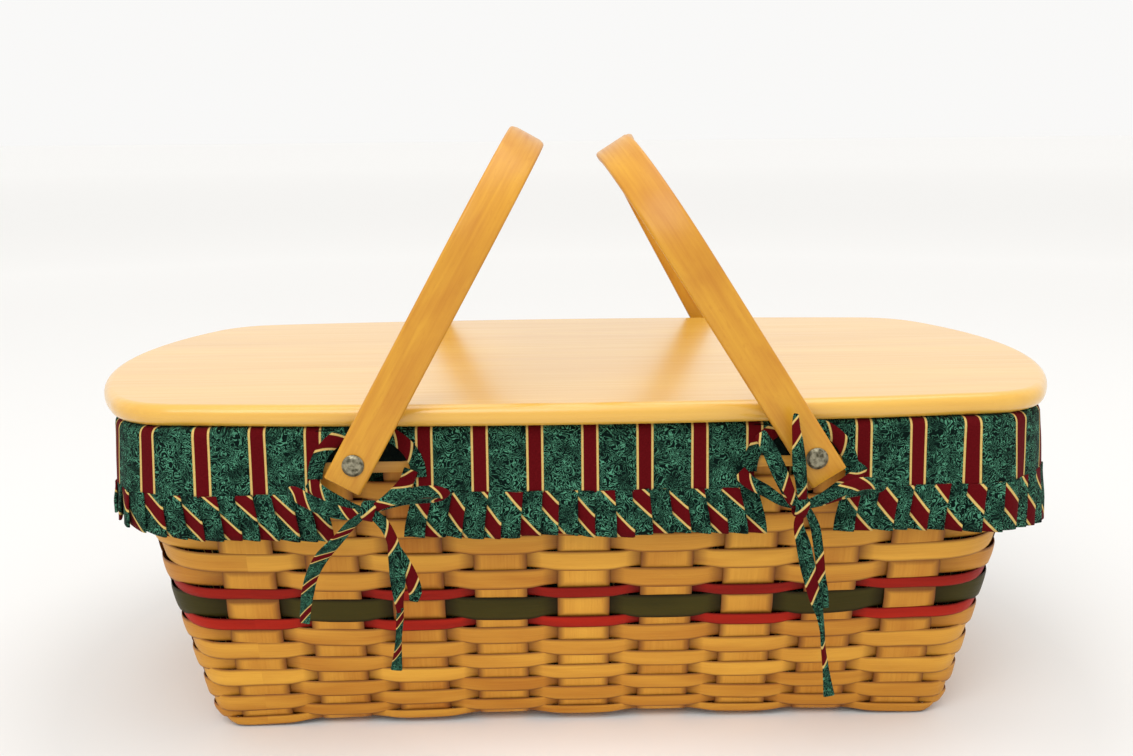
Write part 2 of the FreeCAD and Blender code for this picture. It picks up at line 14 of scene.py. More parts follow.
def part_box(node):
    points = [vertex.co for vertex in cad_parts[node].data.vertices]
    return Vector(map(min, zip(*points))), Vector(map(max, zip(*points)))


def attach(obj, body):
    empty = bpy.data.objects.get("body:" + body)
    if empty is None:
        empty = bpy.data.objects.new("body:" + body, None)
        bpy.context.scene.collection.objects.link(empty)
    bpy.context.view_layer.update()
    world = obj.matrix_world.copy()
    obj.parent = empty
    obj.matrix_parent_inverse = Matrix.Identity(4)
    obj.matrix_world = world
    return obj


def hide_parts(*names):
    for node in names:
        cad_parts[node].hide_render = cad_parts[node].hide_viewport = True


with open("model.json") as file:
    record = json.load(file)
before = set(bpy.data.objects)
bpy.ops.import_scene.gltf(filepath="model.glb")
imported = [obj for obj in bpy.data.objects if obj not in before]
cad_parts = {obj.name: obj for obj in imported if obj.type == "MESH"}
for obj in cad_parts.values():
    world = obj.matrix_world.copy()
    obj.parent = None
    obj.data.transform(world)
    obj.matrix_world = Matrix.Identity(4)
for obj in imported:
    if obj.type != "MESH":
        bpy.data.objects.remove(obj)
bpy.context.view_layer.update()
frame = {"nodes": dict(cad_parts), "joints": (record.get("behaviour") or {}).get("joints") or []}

MM = 0.001


def solid_box(node):
    """Lowest and highest corner of a solid, in millimetres."""
    return np.array([tuple(corner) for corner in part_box(node)]) / MM


# Camera, as fitted to the photograph
LENS = 40.02
SENSOR_WIDTH = 36.0
CAMERA_PLACE = (-27.0, -837.5, 362.9)
CAMERA_PITCH, CAMERA_YAW, CAMERA_ROLL = -11.12, -1.45, 0.53

# Basket body
BAND_THICKNESS = 3.5
RIM_BOX = solid_box("outer_rim_band")
SHOULDER, RIM_TOP = RIM_BOX[:, 2]
RIM_HALF = RIM_BOX[1, :2] - BAND_THICKNESS
BASE_HALF = np.array([226.0, 103.0])
END_TUCK, END_TUCK_HEIGHT = 9.0, 13.0
RIM_CORNER, BASE_CORNER, CORNER_HEIGHT, ROUNDING_POWER = 55.0, 4.0, 120.0, 0.8
ARCH_RISE, ARCH_TOP = 4.3, 62.0

# Stakes and weavers
CROSS_STAKES, LONG_STAKES = 9, 5
CROSS_PITCH, LONG_PITCH = 49.0, 39.5
STAKE_WIDTH, STAKE_THICKNESS = 31.0, 1.5
STAKE_MIDDLE = -0.8
STAKE_WAVE, WEAVER_WAVE = 0.6, 1.6
WEAVER_THICKNESS = 1.2
WAVE_SHARPNESS = 1.4
CROSSING_SHARE = 0.9
GRAIN_SPREAD = 6.0
CORNER_BULGE = 4.0
END_SWELL = 3.0
ROW_DROOP = 1.5
ROW_END_LIFT, LIFT_START, LIFT_END = 4.0, 110.0, 250.0
ROW_SWAYS = ((0.25, 0.9, 2.1), (0.15, 2.3, 1.0))
BASE_MIDDLE, BASE_WAVE = 1.6, 0.8
FOOT_BEND, BEND_STEPS, BASE_STEPS = 3.6, 7, 60
STAKE_TOP_GAP, STAKE_STEP, STAKE_FADE = 0.4, 2.2, 12.0
# Ranges over the wave of the painted shade: where a weaver dips under a stake, and where a stake lies under
# a weaver
DIP_SHADE, UNDER_SHADE = (-0.85, 0.1), (-0.5, 0.6)
PHASES = 2 * (CROSS_STAKES + LONG_STAKES)
CORNER_PHASES = (CROSS_STAKES - 0.5, PHASES / 2 - 0.5)
STEPS_PER_STAKE = 14

# Steps between pieces through the grain, so that no two show the same figure
STRIPS_APART, STAKES_APART, LAYERS_APART, HANDLES_APART = 10.0, 300.0, 100.0, 40.0

# Each weaver's node, height and width, from the base up
ROWS = (
    ("weaver_01", 4.2, 6.4), ("weaver_02", 9.9, 9.0), ("weaver_03", 17.4, 11.4),
    ("weaver_04", 26.2, 11.8), ("weaver_05", 35.6, 12.0), ("weaver_06", 45.3, 12.0),
    ("weaver_07", 55.0, 12.0), ("weaver_08", 65.0, 12.2), ("weaver_red_lower", 73.6, 7.8),
    ("weaver_green", 83.9, 16.0), ("weaver_red_upper", 94.5, 7.4), ("weaver_09", 104.0, 13.4),
    ("weaver_10", 116.0, 13.2), ("weaver_11", 127.8, 13.2), ("weaver_12", 139.6, 13.2),
    ("weaver_13", 151.6, 13.2), ("weaver_14", 163.6, 13.0),
)
ROW_HEIGHTS = np.array([height for name, height, width in ROWS])

# Cloth skirt, ruffle and handle slits
CLOTH_THICKNESS = 0.7
SKIRT_TOP = RIM_TOP + 1.1
SKIRT_DROP, RUFFLE_DROP = 38.0, 25.5
SKIRT_OFFSET, SKIRT_FLARE, FLARE_POWER, SKIRT_FOLD = 4.7, 2.4, 1.4, 1.0
SKIRT_WAVES = ((1.0, 0.115, 0.0), (0.6, 0.047, 1.3), (0.5, 0.29, 0.4))
SKIRT_START, SKIRT_ROWS, CLOTH_STEP = 4.6, 22, 2.5
ROLL_INSET, ROLL_DEPTH = 2.2, 2.5
SKIRT_ROLL = ((-6.0, 0.0), (-2.0, 0.0), (0.8, 0.1), (2.6, 0.6), (3.8, 1.6), (4.5, 3.0))
LEFT_LEAN, RIGHT_LEAN, LEAN_START, LEAN_POWER = 2.0, 3.0, 16.0, 1.5
HEM_TILT, TILT_SIDES = 8.0, {"left": -1, "right": 1}
ARCH_HALF_WIDTH, ARCH_HEIGHT, SLIT_HEM_HALF_WIDTH = 26.0, 27.0, 19.5
ARCH_SHIFT = 5.0
PLEAT_PITCH, PLEAT_DEPTH, PLEAT_STEPS = 10.0, 3.0, 2
PLEAT_SHIFT, PLEAT_DEPTH_SHARES = 0.9, (0.8, 1.15)
PLEAT_TOP, PLEAT_OPENING, OPEN_BY = 0.45, 0.75, 0.7
RUFFLE_OVERLAP, RUFFLE_INSET, RUFFLE_FLARE, FLARE_WAVE, RUFFLE_ROWS = 0.8, 0.4, 1.6, 0.8, 9
RUFFLE_WAVES, HEM_WAVES = ((0.8, 0.11, 1), (0.5, 0.31, 2)), ((0.8, 0.083, 3),)
PLEAT_SHARES = (
    (0.00, 0.10), (0.28, 0.34), (0.58, 0.66), (0.88, 0.94), (1.03, 1.00), (1.07, 0.84), (0.95, 0.62),
    (0.68, 0.34), (0.44, 0.10), (0.38, -0.04), (0.50, -0.12), (0.76, -0.04),
)
BINDING_WIDTH, BINDING_THICKNESS, BINDING_STRIPE = 8.5, 1.6, 24.0
BINDING_LAP, BINDING_DROP, BINDING_LIFT, ARCH_STEPS = 1.5, 0.9, 0.9, 61
FACING_HOLE, FACING_DIP, FACING_LAP, FACING_GAP, FACING_STAND = 8.8, 3.5, 3.0, 0.2, 0.45
FACING_LEAST, FACING_ROWS, LEAST_SLOPE = 0.2, 9, 0.01
STRIPE_PITCH, STRIPE_MIDDLE = 30.8, 3.0
BURGUNDY_WIDTH, YELLOW_WIDTH, STRIPE_BLUR = 7.2, 1.2, 0.15
SCRIBBLE_BANDS = 9.0
BIAS = math.sqrt(2)

# Handles: bent straps that lean inwards until the crown is at its reach from the middle
STRAP_WIDTH, STRAP_THICKNESS, STRAP_EDGE = 22.0, 6.0, 1.8
HANDLE_RISE, HANDLE_CORNER, FOOT_LENGTH, FOOT_ROUND = 200.0, 75.0, 14.0, 0.6
LEG_STEPS, SHOULDER_STEPS, CROWN_STEPS, EDGE_TURN = 24, 19, 12, 22.5
CROWN_REACH = {"left": 29.3, "right": 19.1}
CROWN_WIND, WIND_SHARE = {"left": 0.0, "right": 16.0}, 0.6

# Handle pivots
JOINTS = {joint["name"]: joint for joint in frame["joints"]}
PIVOT_X, _, PIVOT_HEIGHT = np.array(JOINTS["right_handle_swing"]["pos_m"]) / MM
STRAP_FACE = solid_box("left_handle_strap")[1, 1]


# Curves

def smooth_path(points, steps):
    """A smooth curve through the points, with the given number of steps in each span."""
    knots = np.asarray(points, float)
    ends = np.vstack([2 * knots[0] - knots[1], knots, 2 * knots[-1] - knots[-2]])
    t = np.linspace(0, 1, steps, endpoint=False)[:, None]
    spans = []
    for a, b, c, d in zip(ends, ends[1:], ends[2:], ends[3:]):
        cubic = 2 * b + (c - a) * t + (2 * a - 5 * b + 4 * c - d) * t**2 + (3 * b - a - 3 * c + d) * t**3
        spans.append(cubic / 2)
    return np.vstack(spans + [knots[-1:]])


def smooth_step(value, start, end):
    """0 before start, 1 after end and an even rise between them."""
    t = np.clip((value - start) / (end - start), 0, 1)
    return t * t * (3 - 2 * t)


def waves(along, parts, shift=1.0):
    """A sum of sine waves, each with a height, a rate along the run and a start that shift multiplies."""
    return sum(height * np.sin(along * rate + start * shift) for height, rate, start in parts)


def stacked(*parts):
    """Points or pattern coordinates from their parts, spread over one grid."""
    return np.stack(np.broadcast_arrays(*parts), axis=-1)


def directions(path):
    """Direction of a path at each of its points."""
    tangent = np.gradient(path, axis=0)
    return tangent / np.linalg.norm(tangent, axis=1)[:, None]


def path_length(points):
    """Length along a path at each of its points."""
    steps = np.linalg.norm(np.diff(points, axis=0), axis=1)
    return np.concatenate([[0], np.cumsum(steps)])


def base_arch(x, z):
    """Rise of the base between its two ends, which fades out up the wall."""
    along = np.clip(1 - (x / BASE_HALF[0])**2, 0, 1)
    return ARCH_RISE * along * (1 - smooth_step(z, 0, ARCH_TOP))


def row_lift(x, z):
    """Rise of the weavers towards the ends, most at mid height."""
    share = np.clip(z / SHOULDER, 0, 1)
    return ROW_END_LIFT * smooth_step(np.abs(x), LIFT_START, LIFT_END) * np.sin(math.pi * share)


# Plan of the wall

def half_sizes(z):
    """Half length, half width and corner radius of the wall at a height."""
    share = np.clip(z / SHOULDER, 0, 1)
    tuck = END_TUCK * (1 - np.clip(z / END_TUCK_HEIGHT, 0, 1))**2
    half_length, half_width = (BASE_HALF[i] + (RIM_HALF[i] - BASE_HALF[i]) * share for i in (0, 1))
    rounding = np.clip(z / CORNER_HEIGHT, 0, 1)**ROUNDING_POWER
    swell = END_SWELL * np.sin(math.pi * share)
    return half_length + swell - tuck, half_width, BASE_CORNER + (RIM_CORNER - BASE_CORNER) * rounding


def corner_turn(share, z):
    """Point and outward way on the front right corner, from its last cross stake to its first long one."""
    half_length, half_width, radius = half_sizes(z)
    last_x = CROSS_PITCH * (CROSS_STAKES - 1) / 2
    first_y = -LONG_PITCH * (LONG_STAKES - 1) / 2
    lead = half_length - radius - last_x
    arc = radius * math.pi / 2
    tail = half_width - radius + first_y
    run = share * (lead + arc + tail)
    angle = np.clip((run - lead) / radius, 0, math.pi / 2)
    x = half_length - radius + np.minimum(run - lead, 0) + radius * np.sin(angle)
    y = -(half_width - radius) - radius * np.cos(angle) + np.maximum(run - lead - arc, 0)
    return x, y, np.sin(angle), -np.cos(angle)


def wall(phase, z, offset):
    """Points of the wall at a place, counted in stakes from the front left one, a height and an offset."""
    phase, z, offset = np.broadcast_arrays(np.asarray(phase, float), z, offset)
    half_turn = phase >= PHASES / 2
    q = np.where(half_turn, phase - PHASES / 2, phase)
    half_length, half_width, _ = half_sizes(z)
    last, first_end = CROSS_STAKES - 1, CROSS_STAKES
    last_end = first_end + LONG_STAKES - 1
    near_corner = corner_turn(np.clip(q - last, 0, 1), z)
    far_corner = corner_turn(np.clip(last_end + 1 - q, 0, 1), z)
    zero, one = np.zeros_like(q), np.ones_like(q)
    front = (CROSS_PITCH * (q - last / 2), -half_width, zero, -one)
    end = (half_length, LONG_PITCH * (q - first_end - (LONG_STAKES - 1) / 2), one, zero)
    far = (far_corner[0], -far_corner[1], far_corner[2], -far_corner[3])
    stretch = [q <= last, q <= first_end, q <= last_end]
    sides = zip(front, near_corner, end, far)
    x, y, out_x, out_y = (np.select(stretch, parts[:3], parts[3]) for parts in sides)
    turn = np.where(half_turn, -1, 1)
    return stacked(turn * (x + out_x * offset), turn * (y + out_y * offset), z)


def rim_outline():
    """Length round the rim from the front middle, with the point and outward direction there."""
    straight_x, straight_y = RIM_HALF - RIM_CORNER
    turns = np.radians(np.arange(0, 91, 1))
    right, front = np.sin(turns), -np.cos(turns)
    x, y = straight_x + RIM_CORNER * right, RIM_CORNER * front - straight_y
    corner = np.stack([x, y, right, front], axis=1)
    quarter = np.vstack([(0, -RIM_HALF[1], 0, -1), corner, (RIM_HALF[0], 0, 1, 0)])
    half = np.vstack([quarter, (quarter[::-1] * (1, -1, 1, -1))[1:]])
    ring = np.vstack([half, (half * -1)[1:]])
    return path_length(ring[:, :2]), ring


RIM_RUNS, RIM_RING = rim_outline()
RIM_LENGTH = RIM_RUNS[-1]


def rim(run, offset, z):
    """Points beside the rim at a length round it, an outward offset and a height."""
    run, offset, z = np.broadcast_arrays(np.asarray(run, float), offset, z)
    x, y, out_x, out_y = (np.interp(run % RIM_LENGTH, RIM_RUNS, RIM_RING[:, i]) for i in range(4))
    return stacked(x + out_x * offset, y + out_y * offset, z)


# Meshes

class Shell:
    """Grids of points in one mesh, each point with a pattern coordinate and a painted shade for its
    material.
    """

    def __init__(self):
        self.points, self.patterns, self.shades, self.faces = [], [], [], []
        self.count = 0

    def grid(self, points, pattern, closed=False, caps=False, shade=0.0):
        """Adds a grid of points; closed joins its last column to its first, and caps close its ends."""
        rows, columns = points.shape[:2]
        index = self.count + np.arange(rows * columns).reshape(rows, columns)
        after = np.roll(index, -1, axis=1) if closed else index[:, 1:]
        before = index if closed else index[:, :-1]
        quads = np.stack([before[:-1], after[:-1], after[1:], before[1:]], axis=-1)
        self.faces += quads.reshape(-1, 4).tolist()
        if caps:
            self.faces += [index[0, ::-1].tolist(), index[-1].tolist()]
        self.points.append(points.reshape(-1, 3))
        self.patterns.append(pattern.reshape(-1, 3))
        self.shades.append(np.broadcast_to(shade, (rows, columns)).ravel())
        self.count += rows * columns
        return self

    def make(self, name, material, sharp=40, thickness=None):
        """The mesh as an object, smooth up to the sharp angle, with a thickness if it is a sheet."""
        mesh = bpy.data.meshes.new(name)
        mesh.from_pydata((np.vstack(self.points) * MM).tolist(), [], self.faces)
        attribute = mesh.attributes.new("pattern", "FLOAT_VECTOR", "POINT")
        attribute.data.foreach_set("vector", (np.vstack(self.patterns) * MM).ravel())
        shade = mesh.attributes.new("shade", "FLOAT", "POINT")
        shade.data.foreach_set("value", np.concatenate(self.shades))
        tidy = bmesh.new()
        tidy.from_mesh(mesh)
        bmesh.ops.recalc_face_normals(tidy, faces=tidy.faces)
        tidy.to_mesh(mesh)
        tidy.free()
        mesh.shade_smooth()
        mesh.set_sharp_from_angle(angle=math.radians(sharp))
        mesh.materials.append(material)
        piece = bpy.data.objects.new(name, mesh)
        bpy.context.collection.objects.link(piece)
        if thickness:
            solid = piece.modifiers.new("thickness", "SOLIDIFY")
            solid.thickness = thickness * MM
            solid.offset = 0
        return piece


def dress(piece, body, slot, *nodes):
    """Sets a piece on its body, in place of the solids it stands for."""
    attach(piece, body)
    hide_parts(*nodes)


# Materials

class Paint:
    """A node material built up step by step."""

    def __init__(self, name):
        self.material = bpy.data.materials.new(name)
        self.material.use_nodes = True
        self.tree = self.material.node_tree
        self.shader = self.tree.nodes["Principled BSDF"]

    def node(self, kind, inputs, **settings):
        """Adds a node; an input is a number, a colour or another node's output."""
        made = self.tree.nodes.new(kind)
        for name, value in settings.items():
            setattr(made, name, value)
        for name, value in inputs.items():
            self.feed(made.inputs[name], value)
        return made

    def feed(self, socket, value):
        """Links an output to a socket, or sets the socket."""
        if isinstance(value, bpy.types.NodeSocket):
            self.tree.links.new(value, socket)
        else:
            socket.default_value = value

    def math(self, operation, *values):
        return self.node("ShaderNodeMath", dict(enumerate(values)), operation=operation).outputs[0]

    def mix(self, share, first, second, blend="MIX"):
        """One colour over another by a share."""
        inputs = {0: share, 6: first, 7: second}
        return self.node("ShaderNodeMix", inputs, data_type="RGBA", blend_type=blend).outputs[2]

    def span(self, value, low, high, to_low=0.0, to_high=1.0):
        """A value from one range spread over another and kept inside it."""
        inputs = {"Value": value, "From Min": low, "From Max": high, "To Min": to_low, "To Max": to_high}
        return self.node("ShaderNodeMapRange", inputs).outputs[0]

    def scaled(self, vector, scale):
        return self.node("ShaderNodeMapping", {"Vector": vector, "Scale": scale}).outputs[0]

    def noise(self, vector, scale=1.0, detail=3.0, roughness=0.5, distortion=0.0):
        inputs = {"Vector": vector, "Scale": scale, "Detail": detail, "Roughness": roughness,
                  "Distortion": distortion}
        return self.node("ShaderNodeTexNoise", inputs).outputs["Fac"]

    def pattern(self):
        return self.node("ShaderNodeAttribute", {}, attribute_name="pattern").outputs["Vector"]

    def shade(self):
        return self.node("ShaderNodeAttribute", {}, attribute_name="shade").outputs["Fac"]

    def place(self):
        return self.node("ShaderNodeTexCoord", {}).outputs["Object"]

    def bump(self, height, distance, strength=1.0):
        inputs = {"Height": height, "Distance": distance, "Strength": strength}
        self.feed(self.shader.inputs["Normal"], self.node("ShaderNodeBump", inputs).outputs[0])

    def set(self, **inputs):
        """Feeds the shader; an underscore in a name stands for a space."""
        for name, value in inputs.items():
            self.feed(self.shader.inputs[name.replace("_", " ")], value)


def colour(red, green, blue):
    """A shader colour from the red, green and blue that a screen shows, 0 to 255."""
    def linear(value):
        share = value / 255
        return share / 12.92 if share <= 0.04045 else ((share + 0.055) / 1.055)**2.4
    return linear(red), linear(green), linear(blue), 1.0


# Painted shade on the splint: a darker tint over each strip's edges, between the strips, and where it passes
# under another; where the edge shade starts across the strip, and how much of each
SHADE_TINT, EDGE_SHADE_START, EDGE_SHADE_MOST, SHADE_MOST = colour(120, 72, 40), 0.7, 0.85, 0.75
BLACK, WHITE = (0.0, 0.0, 0.0, 1.0), (1.0, 1.0, 1.0, 1.0)

# Noise scales along each direction of a pattern or a solid, in cycles per metre
SPLINT_FINE, SPLINT_BROAD, SPLINT_PORES = (22, 1500, 900), (9, 60, 410), (90, 2600, 700)
STRAP_GRAIN, STRAP_FLECKS, STRAP_MOTTLE = (14, 520, 160), (210, 620, 160), (26, 62, 30)
LID_GRAIN, RIM_GRAIN = (3, 24, 24), (5, 5, 60)
CLOTH_WARP, CLOTH_WEFT = (2600, 500, 1), (500, 2600, 1)
STEEL_WEAR = (900, 300, 300)

# Finer noise on a board, as multiples of its grain's scale
BOARD_FINE, BOARD_PORES = (1.5, 12, 12), (9, 60, 60)


def splint_wood(name, light, dark, gloss):
    """Thin sawn wood: grain along the strip, a tone of its own for each strip and fine pores, with painted
    shade along its edges, between the strips, and where it passes under another strip.
    """
    paint = Paint(name)
    strip = paint.pattern()
    fine = paint.noise(paint.scaled(strip, SPLINT_FINE), detail=4.0, roughness=0.65)
    broad = paint.noise(paint.scaled(strip, SPLINT_BROAD), detail=2.0, distortion=0.6)
    pores = paint.noise(paint.scaled(strip, SPLINT_PORES), detail=2.0)
    _, across, number = paint.node("ShaderNodeSeparateXYZ", {"Vector": strip}).outputs
    own_noise = {"W": number, "Scale": 137.0, "Detail": 0.0}
    own = paint.node("ShaderNodeTexNoise", own_noise, noise_dimensions="1D").outputs["Fac"]
    streaks = paint.math("ADD", paint.math("MULTIPLY", fine, 0.3), paint.math("MULTIPLY", broad, 0.8))
    streaks = paint.math("ADD", streaks, paint.math("MULTIPLY", own, 0.6))
    tone = paint.mix(paint.span(streaks, 0.55, 1.15), light, dark)
    specks = paint.mix(paint.span(pores, 0.62, 0.74, 0.0, 0.3), tone, dark)
    # Painted shade: darker along each strip's edges, between the strips, and by the painted shade stored on
    # the mesh where it passes under another strip
    edge = GRAIN_SPREAD * MM
    edges = paint.span(paint.math("ABSOLUTE", across), EDGE_SHADE_START * edge, edge, 0.0, EDGE_SHADE_MOST)
    shade_share = paint.math("MAXIMUM", edges, paint.math("MULTIPLY", paint.shade(), SHADE_MOST))
    shaded_wood = paint.mix(shade_share, specks, SHADE_TINT, "MULTIPLY")
    paint.set(Base_Color=shaded_wood, Roughness=paint.span(fine, 0.3, 0.7, 0.42, 0.56),
              Specular_IOR_Level=gloss)
    paint.bump(fine, 0.00012)
    return paint.material


def strap_wood(name, light, dark):
    """Bent wood under satin lacquer: long grain, short flecks and a slow change of tone along the strap."""
    paint = Paint(name)
    strap = paint.pattern()
    grain = paint.noise(paint.scaled(strap, STRAP_GRAIN), detail=4.0, roughness=0.6)
    flecks = paint.noise(paint.scaled(strap, STRAP_FLECKS), detail=2.0)
    mottle = paint.noise(paint.scaled(strap, STRAP_MOTTLE), detail=2.0, distortion=0.8)
    tone = paint.math("ADD", paint.math("MULTIPLY", grain, 0.5), paint.math("MULTIPLY", mottle, 0.65))
    wood = paint.mix(paint.span(tone, 0.38, 0.8), light, dark)
    specks = paint.span(flecks, 0.58, 0.75, 0.0, 0.4)
    paint.set(Base_Color=paint.mix(specks, wood, dark), Roughness=paint.span(grain, 0.3, 0.7, 0.34, 0.46),
              Specular_IOR_Level=0.35, Coat_Weight=0.2, Coat_Roughness=0.25)
    paint.bump(grain, 0.00005)
    return paint.material


def board_wood(name, light, dark, scale, coat):
    """Planed wood under satin lacquer, with long soft figure and fine pores along the grain."""
    paint = Paint(name)
    grain = paint.scaled(paint.place(), scale)
    figure = paint.noise(grain, detail=3.0, roughness=0.55, distortion=1.0)
    fine = paint.noise(paint.scaled(grain, BOARD_FINE), detail=4.0, roughness=0.6)
    pores = paint.noise(paint.scaled(grain, BOARD_PORES), detail=1.0)
    tone = paint.math("ADD", paint.math("MULTIPLY", figure, 0.7), paint.math("MULTIPLY", fine, 0.4))
    wood = paint.mix(paint.span(tone, 0.35, 0.85), light, dark)
    specks = paint.span(pores, 0.6, 0.75, 0.0, 0.3)
    paint.set(Base_Color=paint.mix(specks, wood, dark), Roughness=paint.span(fine, 0.3, 0.7, 0.3, 0.4),
              Coat_Weight=coat, Coat_Roughness=0.2)
    paint.bump(fine, 0.00004)
    return paint.material


def striped_cloth(name, ground, scribble, burgundy, yellow):
    """Woven cotton: burgundy stripes edged in yellow on a dark ground with a curly lighter scribble."""
    paint = Paint(name)
    flat = paint.pattern()
    across = paint.node("ShaderNodeSeparateXYZ", {"Vector": flat}).outputs[0]
    from_first = paint.math("SUBTRACT", across, STRIPE_MIDDLE * MM)
    from_stripe = paint.math("PINGPONG", from_first, STRIPE_PITCH / 2 * MM)
    curl = paint.noise(flat, scale=150.0, detail=2.0, distortion=1.6)
    bands = paint.math("FRACT", paint.math("MULTIPLY", curl, SCRIBBLE_BANDS))
    lines = paint.math("ABSOLUTE", paint.math("SUBTRACT", bands, 0.5))
    patches = paint.noise(flat, scale=110.0, detail=1.5)
    drawn = paint.math("MULTIPLY", paint.span(lines, 0.2, 0.08), paint.span(patches, 0.32, 0.62, 0.2, 1.0))
    field = paint.mix(drawn, ground, scribble)
    half_stripe = BURGUNDY_WIDTH / 2 * MM
    edge = half_stripe + YELLOW_WIDTH * MM
    soft = STRIPE_BLUR * MM
    banded = paint.mix(paint.span(from_stripe, edge + soft, edge - soft), field, yellow)
    banded = paint.mix(paint.span(from_stripe, half_stripe + soft, half_stripe - soft), banded, burgundy)
    warp = paint.noise(paint.scaled(flat, CLOTH_WARP), detail=1.0)
    weft = paint.noise(paint.scaled(flat, CLOTH_WEFT), detail=1.0)
    weave = paint.math("ADD", warp, weft)
    faded = paint.mix(paint.span(weave, 0.7, 1.3, 0.0, 0.22), banded, BLACK)
    paint.set(Base_Color=faded, Roughness=paint.span(weave, 0.7, 1.3, 0.78, 0.95),
              Specular_IOR_Level=0.06, Sheen_Weight=0.02, Sheen_Roughness=0.5)
    paint.bump(weave, 0.00012, 0.7)
    return paint.material


def dull_steel(name):
    """Tumbled steel with soft darker marks."""
    paint = Paint(name)
    place = paint.place()
    marks = paint.noise(place, scale=420.0, detail=3.0)
    wear = paint.noise(paint.scaled(place, STEEL_WEAR), detail=2.0)
    tone = paint.mix(paint.span(marks, 0.38, 0.66), colour(152, 146, 124), colour(76, 72, 56))
    paint.set(Base_Color=tone, Roughness=paint.span(wear, 0.3, 0.7, 0.36, 0.5), Metallic=1.0)
    paint.bump(wear, 0.00002)
    return paint.material


HONEY, HONEY_DARK = colour(222, 164, 58), colour(170, 102, 23)
NATURAL = splint_wood("natural_splint", HONEY, HONEY_DARK, 0.25)
OLIVE = splint_wood("olive_splint", colour(62, 55, 16), colour(40, 36, 9), 0.1)
RED = splint_wood("red_splint", colour(182, 36, 15), colour(126, 18, 8), 0.12)
LID_WOOD = board_wood("pale_maple", colour(220, 172, 64), colour(208, 153, 48), LID_GRAIN, 0.8)
HANDLE_WOOD = strap_wood("honey_maple", colour(205, 148, 37), colour(184, 119, 21))
RIM_WOOD = board_wood("rim_maple", HONEY, HONEY_DARK, RIM_GRAIN, 0.2)
GROUND, SCRIBBLE = colour(2, 20, 16), colour(86, 152, 121)
BURGUNDY, YELLOW = colour(90, 6, 12), colour(210, 178, 104)
CLOTH = striped_cloth("striped_cotton", GROUND, SCRIBBLE, BURGUNDY, YELLOW)
# A darker copy of the striped cloth: painted shade for the cloth in the handle slits, which lies in shadow
# under the lid
SHADED_CLOTH = striped_cloth("shaded_cotton", colour(3, 10, 8), colour(18, 34, 26), colour(26, 4, 6),
                             colour(70, 58, 34))
STEEL = dull_steel("dull_steel")

# Half a strip's section, as shares of its half width and its thickness: flat behind and crowned in front
STRIP_SHARES = (
    (0, 0.62), (0.4, 0.57), (0.75, 0.42), (0.93, 0.22), (1, -0.1), (0.94, -0.42), (0.5, -0.5), (0, -0.5),
)
STRIP_OUTLINE = np.array(STRIP_SHARES + tuple((-across, lift) for across, lift in STRIP_SHARES[-2:0:-1]))


# Woven splint

def over_under(phase):
    """1 where a strip lies over a stake, -1 where it lies under, with flat stretches between."""
    return np.tanh(WAVE_SHARPNESS * np.cos(math.pi * phase)) / math.tanh(WAVE_SHARPNESS)


def at_corner(phase):
    """1 at the middle of each corner of the basket and 0 at the stakes beside it."""
    half_turn = PHASES / 2
    away = [np.abs((phase - middle) % half_turn - half_turn / 2) for middle in CORNER_PHASES]
    return 1 - smooth_step(half_turn / 2 - np.max(away, axis=0), 0, 0.5)


def make_weaver(row, height, width):
    """A weaver, over and under the stakes all round, wider and drooping a little where it lies over."""
    phase = np.linspace(0, PHASES, PHASES * STEPS_PER_STAKE + 1)
    wave = over_under(phase + row)
    bulge = smooth_step(wave, -1, 1)
    fullness = np.maximum(smooth_step(wave, 0, 1), at_corner(phase))
    half_width = width / 2 * (CROSSING_SHARE + (1 - CROSSING_SHARE) * fullness)
    sway = waves(phase, ROW_SWAYS, row) * (row > 0)
    middle = height - ROW_DROOP * (bulge - 0.5) + sway
    across, lift = STRIP_OUTLINE.T
    z = middle[:, None] + half_width[:, None] * across
    round_out = CORNER_BULGE * at_corner(phase) * math.sin(math.pi * height / SHOULDER)
    offset = STAKE_MIDDLE + (WEAVER_WAVE * wave + round_out)[:, None] + WEAVER_THICKNESS * lift
    points = wall(phase[:, None] % PHASES, z, offset)
    points[..., 2] += base_arch(points[..., 0], z) + row_lift(points[..., 0], z)
    along = path_length(points[:, 2])[:, None]
    pattern = stacked(along, GRAIN_SPREAD * across, row * STRIPS_APART)
    # Painted shade where the weaver dips under a stake, none at the corners
    shade = (1 - smooth_step(wave, *DIP_SHADE)) * (1 - at_corner(phase))
    return Shell().grid(points, pattern, closed=True, caps=True, shade=shade[:, None])


def stake_half(parity, axis, pitch, crossings):
    """Half a stake, from the rim to the middle of the base: points by distance out and height, and painted
    shade.
    """
    z = np.arange(RIM_TOP - STAKE_TOP_GAP, FOOT_BEND, -STAKE_STEP)
    rows = np.interp(z, ROW_HEIGHTS, np.arange(len(ROWS)))
    fade = 1 - smooth_step(z, SHOULDER - STAKE_FADE, SHOULDER)
    wave = fade * over_under(rows + parity)
    wall_part = np.stack([half_sizes(z)[axis] + STAKE_MIDDLE - STAKE_WAVE * wave, z], axis=1)
    foot = half_sizes(0)[axis]
    floor_start = foot - FOOT_BEND
    out = np.linspace(floor_start, 0, BASE_STEPS)
    floor_part = np.stack([out, base_wave(out, parity, axis, pitch, crossings)], axis=1)
    knee = np.array([foot + STAKE_MIDDLE, BASE_MIDDLE])
    t = np.linspace(0, 1, BEND_STEPS)[1:-1, None]
    bend = (1 - t)**2 * wall_part[-1] + 2 * t * (1 - t) * knee + t**2 * floor_part[0]
    path = np.vstack([wall_part, bend, floor_part])
    shade = np.zeros(len(path))
    # Painted shade on the stake where a weaver lies over it
    shade[:len(z)] = fade * smooth_step(wave, *UNDER_SHADE)
    return path, shade


